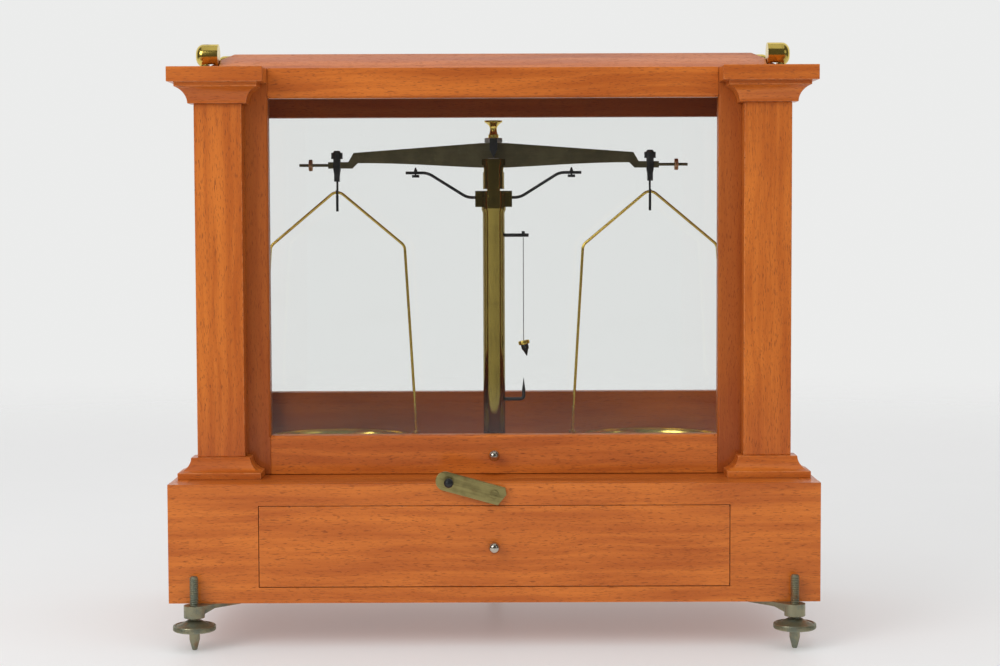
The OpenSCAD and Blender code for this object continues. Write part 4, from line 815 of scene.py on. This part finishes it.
class BALANCE_OT_stage(bpy.types.Operator):
    """Sets the camera, the lamps, the room and the table"""

    bl_idname = "balance.stage"
    bl_label = "Stage and camera"

    def execute(self, context):
        stage = context.scene.balance_stage
        data = bpy.data.cameras.new("camera")
        data.lens = stage.lens
        data.sensor_width = 36
        data.clip_start, data.clip_end = 0.05, 60
        camera = bpy.data.objects.new("camera", data)
        camera.matrix_world = (
            Matrix.Translation((stage.camera_x, -stage.camera_y, stage.camera_z))
            @ Matrix.Rotation(math.pi / 2 - stage.tilt, 4, "X")
            @ Matrix.Rotation(stage.roll, 4, "Z")
        )
        context.scene.collection.objects.link(camera)
        context.scene.camera = camera

        target = (0, 0, 0.22)
        area_lamp("lamp_left", (-1.2, -1.3, 1.15), target, (1.0, 1.0), stage.key)
        area_lamp("lamp_right", (1.6, -1.5, 1.0), target, (1.0, 1.0), stage.fill)
        area_lamp("lamp_top", (0.0, -0.35, 1.7), target, (1.6, 1.2), stage.top)

        world = bpy.data.worlds.new("room")
        context.scene.world = world
        room = Finish(world)
        ahead = room.part(room.node("ShaderNodeTexCoord", output="Generated"), 1)
        up = room.part(room.node("ShaderNodeTexCoord", output="Generated"), 2)
        path = room.node("ShaderNodeLightPath", output="Is Camera Ray")
        through = room.node("ShaderNodeLightPath", output="Is Transmission Ray")
        glossy = room.node("ShaderNodeLightPath", output="Is Glossy Ray")
        seen = room.mix(room.step(ahead, 0.05, 0.50), (0.080, 0.076, 0.070), tuple(stage.backdrop))
        light = room.mix(room.step(up, -0.6, 0.9), [stage.sky * 0.85] * 3, [stage.sky * 1.15] * 3)
        tint = room.mix(glossy.most(through), light, seen)
        tint = room.mix(path, tint, tuple(stage.backdrop))
        room.surface(room.node("ShaderNodeBackground", None, {"Color": tint, "Strength": 1}))

        bpy.ops.object.select_all(action="DESELECT")
        bpy.ops.mesh.primitive_circle_add(vertices=128, radius=3.0, fill_type="NGON")
        table = context.object
        table.name = "table"
        finish = new_finish("table")
        place = finish.place()
        far = finish.node("ShaderNodeVectorMath", {"operation": "LENGTH"}, {0: place}, output=1)
        cloud = finish.noise(place, 5, 3)
        low = [v * 0.985 for v in stage.table]
        flat = finish.principled(
            base_color=finish.mix(finish.step(cloud, 0.35, 0.65), low, tuple(stage.table)),
            roughness=0.42 + cloud * 0.1,
            specular_ior_level=0.25,
            # Painted light: a faint glow on the table lifts its shadow
            emission_color=(1, 1, 1),
            emission_strength=stage.glow,
            normal=finish.bump(finish.noise(place, 900, 2), 0.00003, 0.2),
        )
        clear = finish.node("ShaderNodeBsdfTransparent")
        table.data.materials.append(
            finish.surface(finish.node(
                "ShaderNodeMixShader", None, {0: finish.step(far, 0.85, 2.4), 1: flat, 2: clear}
            ))
        )
        return {"FINISHED"}


# Plumb line

LINE_X, LINE_Y = PLUMB_X * MM, COLUMN_Y * MM
LINE_TOP, LINE_LOW = LINE_TOP_Z * MM, LINE_LOW_Z * MM


class BALANCE_OT_plumb_line(bpy.types.Operator):
    """Hangs the plumb line and its bob from the bracket"""

    bl_idname = "balance.plumb_line"
    bl_label = "Plumb line"

    def execute(self, context):
        bob = turned("plumb_bob.turned", [
            (0, -12), (0.25, -11.8), (2.0, -7.4), (2.7, -6.3), (2.8, -5.6), (2.8, -3.2),
            (2.4, -3.0), (3.9, -3.0), (4.15, -2.8), (4.2, -2.5), (4.2, -0.6), (3.9, -0.15),
            (3.2, 0), (1.4, -0.1), (0.9, -0.3), (0, -0.35),
        ], 72)
        knurl(bob, -2.4, -0.8, 72, 0.00015)
        smooth(bob)
        put(bob, PLUMB_X, COLUMN_Y, LINE_LOW_Z, (0, -BOB_LEAN, 0))
        dress(bob, "plumb", [finish_of("blued_steel"), finish_of("turned_brass")],
              ["plumb_bob"])
        lean = Matrix.Rotation(BOB_LEAN, 4, "Y")
        for polygon in bob.data.polygons:
            along = lean @ (polygon.center - Vector((LINE_X, LINE_Y, LINE_LOW)))
            polygon.material_index = 1 if along.z > -3.02 * MM else 0

        curve = bpy.data.curves.new("plumb_line.silk", "CURVE")
        curve.dimensions = "3D"
        curve.bevel_depth = 0.3 * MM
        curve.bevel_resolution = 2
        curve.use_fill_caps = True
        spline = curve.splines.new("POLY")
        count = 24
        spline.points.add(count - 1)
        for index, point in enumerate(spline.points):
            share_down = index / (count - 1)
            point.co = (LINE_X, LINE_Y, LINE_TOP + (LINE_LOW - LINE_TOP) * share_down, 1)
        line = bpy.data.objects.new("plumb_line.silk", curve)
        context.scene.collection.objects.link(line)
        curve.materials.append(finish_of("thread"))
        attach(line, "plumb")
        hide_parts("plumb_line")
        eased("plumb_bracket", 0.2 * MM, [finish_of("blued_steel")])
        keep("plumb_index", finish_of("blued_steel"))
        return {"FINISHED"}


# Base and drawer


class BALANCE_OT_base(bpy.types.Operator):
    """Dresses the boards of the base"""

    bl_idname = "balance.base"
    bl_label = "Base"

    def execute(self, context):
        edge = context.scene.balance_wood.edge
        front = wood_of("base_front_wood", "x", (0.3, 0.7, 0.1))
        # The edge finish is rubbed polish and a painted highlight along the eased edges
        rubbed = wood_of("base_edge_wood", "x", (0.3, 0.7, 0.1), 0.55)
        eased("base_front", edge, [front], edge_finish=rubbed)
        side = wood_of("base_side_wood", "y", (1.1, 0.2, 0.4))
        back = wood_of("base_back_wood", "x", (2.1, 0.5, 0.9))
        eased("base_carcase", edge, [side, back],
              lambda centre, normal: 0 if abs(centre.x) > 0.2129 else 1)
        # The base top takes painted shade
        eased("base_top", edge, [wood_of("base_top_wood", "x", (0.9, 1.3, 0.3), painted_shade=0.3)])
        keep("drawer_guides", wood_of("guide_wood", "y", (0.2, 0.9, 0.5)))
        return {"FINISHED"}


class BALANCE_OT_drawer(bpy.types.Operator):
    """Dresses the drawer and its knob"""

    bl_idname = "balance.drawer"
    bl_label = "Drawer"

    def execute(self, context):
        edge = context.scene.balance_wood.edge
        # The drawer's edge finish is rubbed polish and a painted highlight along the eased edges
        eased("drawer_front", edge, [wood_of("drawer_wood", "x", (1.7, 0.1, 0.6))],
              edge_finish=wood_of("drawer_edge_wood", "x", (1.7, 0.1, 0.6), 0.3))
        side = wood_of("drawer_side_wood", "y", (0.6, 1.9, 0.2))
        cross = wood_of("drawer_floor_wood", "x", (0.1, 1.2, 1.4))
        eased("drawer_box", edge * 0.8, [side, cross],
              lambda centre, normal: 0 if abs(centre.x) > 0.1542 else 1)
        keep("drawer_knob", finish_of("nickel"))
        return {"FINISHED"}


# Case


class BALANCE_OT_case(bpy.types.Operator):
    """Dresses the pilasters, mouldings, side frames, rails and roof"""

    bl_idname = "balance.case"
    bl_label = "Case"

    def execute(self, context):
        edge = context.scene.balance_wood.edge
        upright = wood_of("pilaster_wood", "z", (0.4, 0.2, 1.5))
        cross = wood_of("moulding_wood", "x", (2.6, 1.5, 0.2))
        # These edge finishes, and the pilasters' and roof's, are rubbed polish and a painted
        # highlight on the eased edges
        rubbed = wood_of("moulding_edge_wood", "x", (2.6, 1.5, 0.2), 0.4)
        eased("pilasters", edge, [upright],
              edge_finish=wood_of("pilaster_edge_wood", "z", (0.4, 0.2, 1.5), 0.35))
        eased("capitals", edge * 0.7, [cross], edge_finish=rubbed)
        eased("plinth_mouldings", edge * 0.7, [cross], edge_finish=rubbed)
        middle = (REAR_POST_FRONT_Y + FRONT_POST_BACK_Y) / 2 * MM
        half = (REAR_POST_FRONT_Y - FRONT_POST_BACK_Y) / 2 * MM
        for side in ("left", "right"):
            name = f"side_frame_{side}_wood"
            FINISHES[name] = mahogany_frame(
                name, middle, half, LOW_RAIL_TOP_Z * MM, HIGH_RAIL_BOTTOM_Z * MM,
                (0.7, 1.1, 0.4) if side == "left" else (1.9, 0.3, 2.2),
            )
            eased(f"side_frame_{side}", edge * 0.8, [FINISHES[name]])
        # The rails take painted shade, for the shadow they stand in behind the glass
        eased("case_rails", edge * 0.8, [wood_of("rail_wood", "x", (0.8, 2.2, 1.1), painted_shade=0.45)])
        eased("roof_board", edge, [wood_of("roof_wood", "x", (1.4, 0.6, 2.3))],
              edge_finish=wood_of("roof_edge_wood", "x", (1.4, 0.6, 2.3), 0.4))
        keep("case_glasses", finish_of("glass"))
        return {"FINISHED"}


class BALANCE_OT_sash(bpy.types.Operator):
    """Dresses the sliding front sash"""

    bl_idname = "balance.sash"
    bl_label = "Sash"

    def execute(self, context):
        edge = context.scene.balance_wood.edge * 0.8
        # The stiles take painted shade, for the shadow of the pilasters beside them
        eased("sash_stiles", edge, [wood_of("stile_wood", "z", (1.2, 0.5, 0.7), painted_shade=0.45)])
        eased("sash_top_rail", edge, [wood_of("sash_rail_wood", "x", (0.5, 0.8, 1.9))])
        eased("sash_bottom_rail", edge, [wood_of("sash_foot_wood", "x", (2.9, 0.4, 1.3))])
        keep("sash_glass", finish_of("glass"))
        keep("sash_knob", finish_of("nickel"))
        return {"FINISHED"}


class BALANCE_OT_pulleys(bpy.types.Operator):
    """Dresses the hoods, pulleys and counterweights"""

    bl_idname = "balance.pulleys"
    bl_label = "Pulleys and weights"

    def execute(self, context):
        edge = context.scene.balance_sizes.metal_edge
        eased("pulley_hoods", edge, [finish_of("hood_brass")])
        for place in ("front_left", "front_right", "rear_left", "rear_right"):
            keep(f"pulley_{place}", finish_of("turned_brass"))
        for side in ("left", "right"):
            eased(f"counterweight_{side}", 0.5 * MM, [finish_of("cast_iron")])
        return {"FINISHED"}


# Feet


class BALANCE_OT_feet(bpy.types.Operator):
    """Makes the levelling screws with their threads and knurled discs, and dresses the lugs"""

    bl_idname = "balance.feet"
    bl_label = "Feet"

    def execute(self, context):
        sizes = context.scene.balance_sizes
        aged = finish_of("aged_brass")
        body = turned("levelling_screw_right.turned", [
            (0, 0), (1.3, 0), (1.8, 0.45), (3.45, 6.9), (3.6, 7.5), (3.6, 13.2), (3.9, 13.5),
            (13.7, 13.5), (14.4, 13.9), (14.7, 14.5), (14.7, 16.7), (14.4, 17.3), (13.7, 17.65),
            (12.9, 17.6), (12.5, 17.2), (11.4, 17.35), (6.2, 19.9), (5.0, 20.6), (3.6, 20.7),
            (2.62, 20.7),
            (2.62, 50.2), (2.1, 50.9), (1.6, 51), (0, 51),
        ], 144)
        knurl(body, 14.6, 16.6, 144, sizes.knurl)
        pitch = sizes.pitch / MM
        ridge = thread("levelling_screw_right.thread", 3.15, 0.52, pitch, 20.4, int(29.4 / pitch))
        screw = joined(body, ridge)
        smooth(screw, 32)
        put(screw, 206.5, -103.15, 0)
        other = mirrored(screw, "levelling_screw_left.turned")
        dress(screw, "screw_right", [aged], ["levelling_screw_right"])
        dress(other, "screw_left", [aged], ["levelling_screw_left"])
        eased("levelling_lugs", sizes.metal_edge * 1.4, [aged])
        eased("rear_foot", sizes.metal_edge, [aged])
        return {"FINISHED"}


# Column and arrest


class BALANCE_OT_column(bpy.types.Operator):
    """Dresses the column, its collar and the forked bearing"""

    bl_idname = "balance.column"
    bl_label = "Column"

    def execute(self, context):
        edge = context.scene.balance_sizes.metal_edge
        for node in ("column_foot", "column_tube", "column_collar", "bearing_fork"):
            eased(node, edge, [finish_of("column_brass")])
        keep("bearing_planes", finish_of("agate"))
        keep("lift_rod", finish_of("ground_steel"))
        return {"FINISHED"}


class BALANCE_OT_arrest(bpy.types.Operator):
    """Dresses the arrest arms, their pins, and the lever with its stud and screw"""

    bl_idname = "balance.arrest"
    bl_label = "Arrest"

    def execute(self, context):
        edge = context.scene.balance_sizes.metal_edge
        keep("arrest_arms", finish_of("blued_steel"))
        nut_z = 340 - 10.7 - 1.1 - 0.4
        pins = eased("arrest_pins", 0.1 * MM, [finish_of("blued_steel"), finish_of("copper_nut")],
                     lambda centre, normal: 1 if centre.z < (nut_z + 0.1) * MM else 0)
        pins.name = "arrest_pins.eased"
        keep("arrest_shaft", finish_of("ground_steel"))
        eased("arrest_lever", edge * 1.2, [finish_of("worn_brass")])
        keep("lever_stud", finish_of("blued_steel"))
        eased("lever_screw", 0.1 * MM, [finish_of("worn_brass")])
        return {"FINISHED"}


# Beam


class BALANCE_OT_beam(bpy.types.Operator):
    """Dresses the beam and makes its knurled disc, nuts and knives"""

    bl_idname = "balance.beam"
    bl_label = "Beam"

    def execute(self, context):
        edge = context.scene.balance_sizes.metal_edge
        eased("beam", edge, [finish_of("bronze"), finish_of("blued_steel")],
              lambda centre, normal: 1 if abs(centre.x) > 0.1235 else 0)
        eased("centre_knife", 0.12 * MM, [finish_of("blued_steel"), finish_of("ground_steel")],
              lambda centre, normal: 1 if centre.z < 0.3455 else 0)
        keep("end_knives", finish_of("ground_steel"))

        disc = turned("lock_disc.knurled", [
            (0, 0), (6.2, 0), (6.6, 0.3), (6.7, 0.6), (6.7, 2.8), (6.6, 3.1), (6.2, 3.4), (0, 3.4),
        ], 84)
        knurl(disc, 0.7, 2.7, 84, 0.00025)
        smooth(disc)
        put(disc, 0, COLUMN_Y, LOCK_DISC_Z)
        dress(disc, "beam", [finish_of("ground_steel")], ["lock_disc"])
        eased("gravity_nut", 0.2 * MM, [finish_of("turned_brass")], angle=50)

        nut = turned("tare_nut_right.knurled", [
            (1.15, -1.4), (3.9, -1.4), (4.2, -1.2), (4.3, -0.9), (4.3, 0.9), (4.2, 1.2), (3.9, 1.4),
            (1.15, 1.4), (1.15, -1.4),
        ], 60)
        knurl(nut, -1.0, 1.0, 60, 0.0002)
        smooth(nut)
        put(nut, TARE_NUT_X, COLUMN_Y, KNIFE_Z - TONGUE_DROP - TONGUE_HALF, (0, math.pi / 2, 0))
        other = mirrored(nut, "tare_nut_left.knurled")
        dress(nut, "tare_right", [finish_of("copper_nut")], ["tare_nut_right"])
        dress(other, "tare_left", [finish_of("copper_nut")], ["tare_nut_left"])
        return {"FINISHED"}


class BALANCE_OT_pans(bpy.types.Operator):
    """Dresses the stirrups, bows and pans"""

    bl_idname = "balance.pans"
    bl_label = "Stirrups and pans"

    def execute(self, context):
        for side in ("left", "right"):
            eased(f"stirrup_{side}", 0.15 * MM, [finish_of("blued_steel")])
            keep(f"bow_{side}", finish_of("wire_brass"))
            keep(f"pan_{side}", finish_of(f"pan_{side}_brass"))
        return {"FINISHED"}


class BALANCE_PT_panel(bpy.types.Panel):
    """Lists the pieces of the balance and their sizes and colours"""

    bl_idname = "BALANCE_PT_panel"
    bl_label = "Prescription balance"
    bl_space_type = "VIEW_3D"
    bl_region_type = "UI"
    bl_category = "Balance"

    def draw(self, context):
        for operator in OPERATORS:
            self.layout.operator(operator.bl_idname)
        for name in PROPERTIES:
            group = getattr(context.scene, name)
            box = self.layout.box()
            for key in group.bl_rna.properties.keys():
                if key not in ("rna_type", "name"):
                    box.prop(group, key)


OPERATORS = (
    BALANCE_OT_stage,
    BALANCE_OT_plumb_line,
    BALANCE_OT_base,
    BALANCE_OT_drawer,
    BALANCE_OT_case,
    BALANCE_OT_sash,
    BALANCE_OT_pulleys,
    BALANCE_OT_feet,
    BALANCE_OT_column,
    BALANCE_OT_arrest,
    BALANCE_OT_beam,
    BALANCE_OT_pans,
)
PROPERTIES = {
    "balance_wood": WoodFinish,
    "balance_metal": MetalFinish,
    "balance_sizes": FittingSizes,
    "balance_stage": StageSettings,
}


def register():
    for group in PROPERTIES.values():
        bpy.utils.register_class(group)
    for name, group in PROPERTIES.items():
        setattr(bpy.types.Scene, name, bpy.props.PointerProperty(type=group))
    for operator in OPERATORS:
        bpy.utils.register_class(operator)
    bpy.utils.register_class(BALANCE_PT_panel)


def unregister():
    bpy.utils.unregister_class(BALANCE_PT_panel)
    for operator in reversed(OPERATORS):
        bpy.utils.unregister_class(operator)
    for name, group in PROPERTIES.items():
        delattr(bpy.types.Scene, name)
        bpy.utils.unregister_class(group)


def main():
    register()
    bpy.context.scene.view_settings.view_transform = "Standard"
    for operator in OPERATORS:
        family, name = operator.bl_idname.split(".")
        getattr(getattr(bpy.ops, family), name)()


if __name__ == "__main__":
    main()
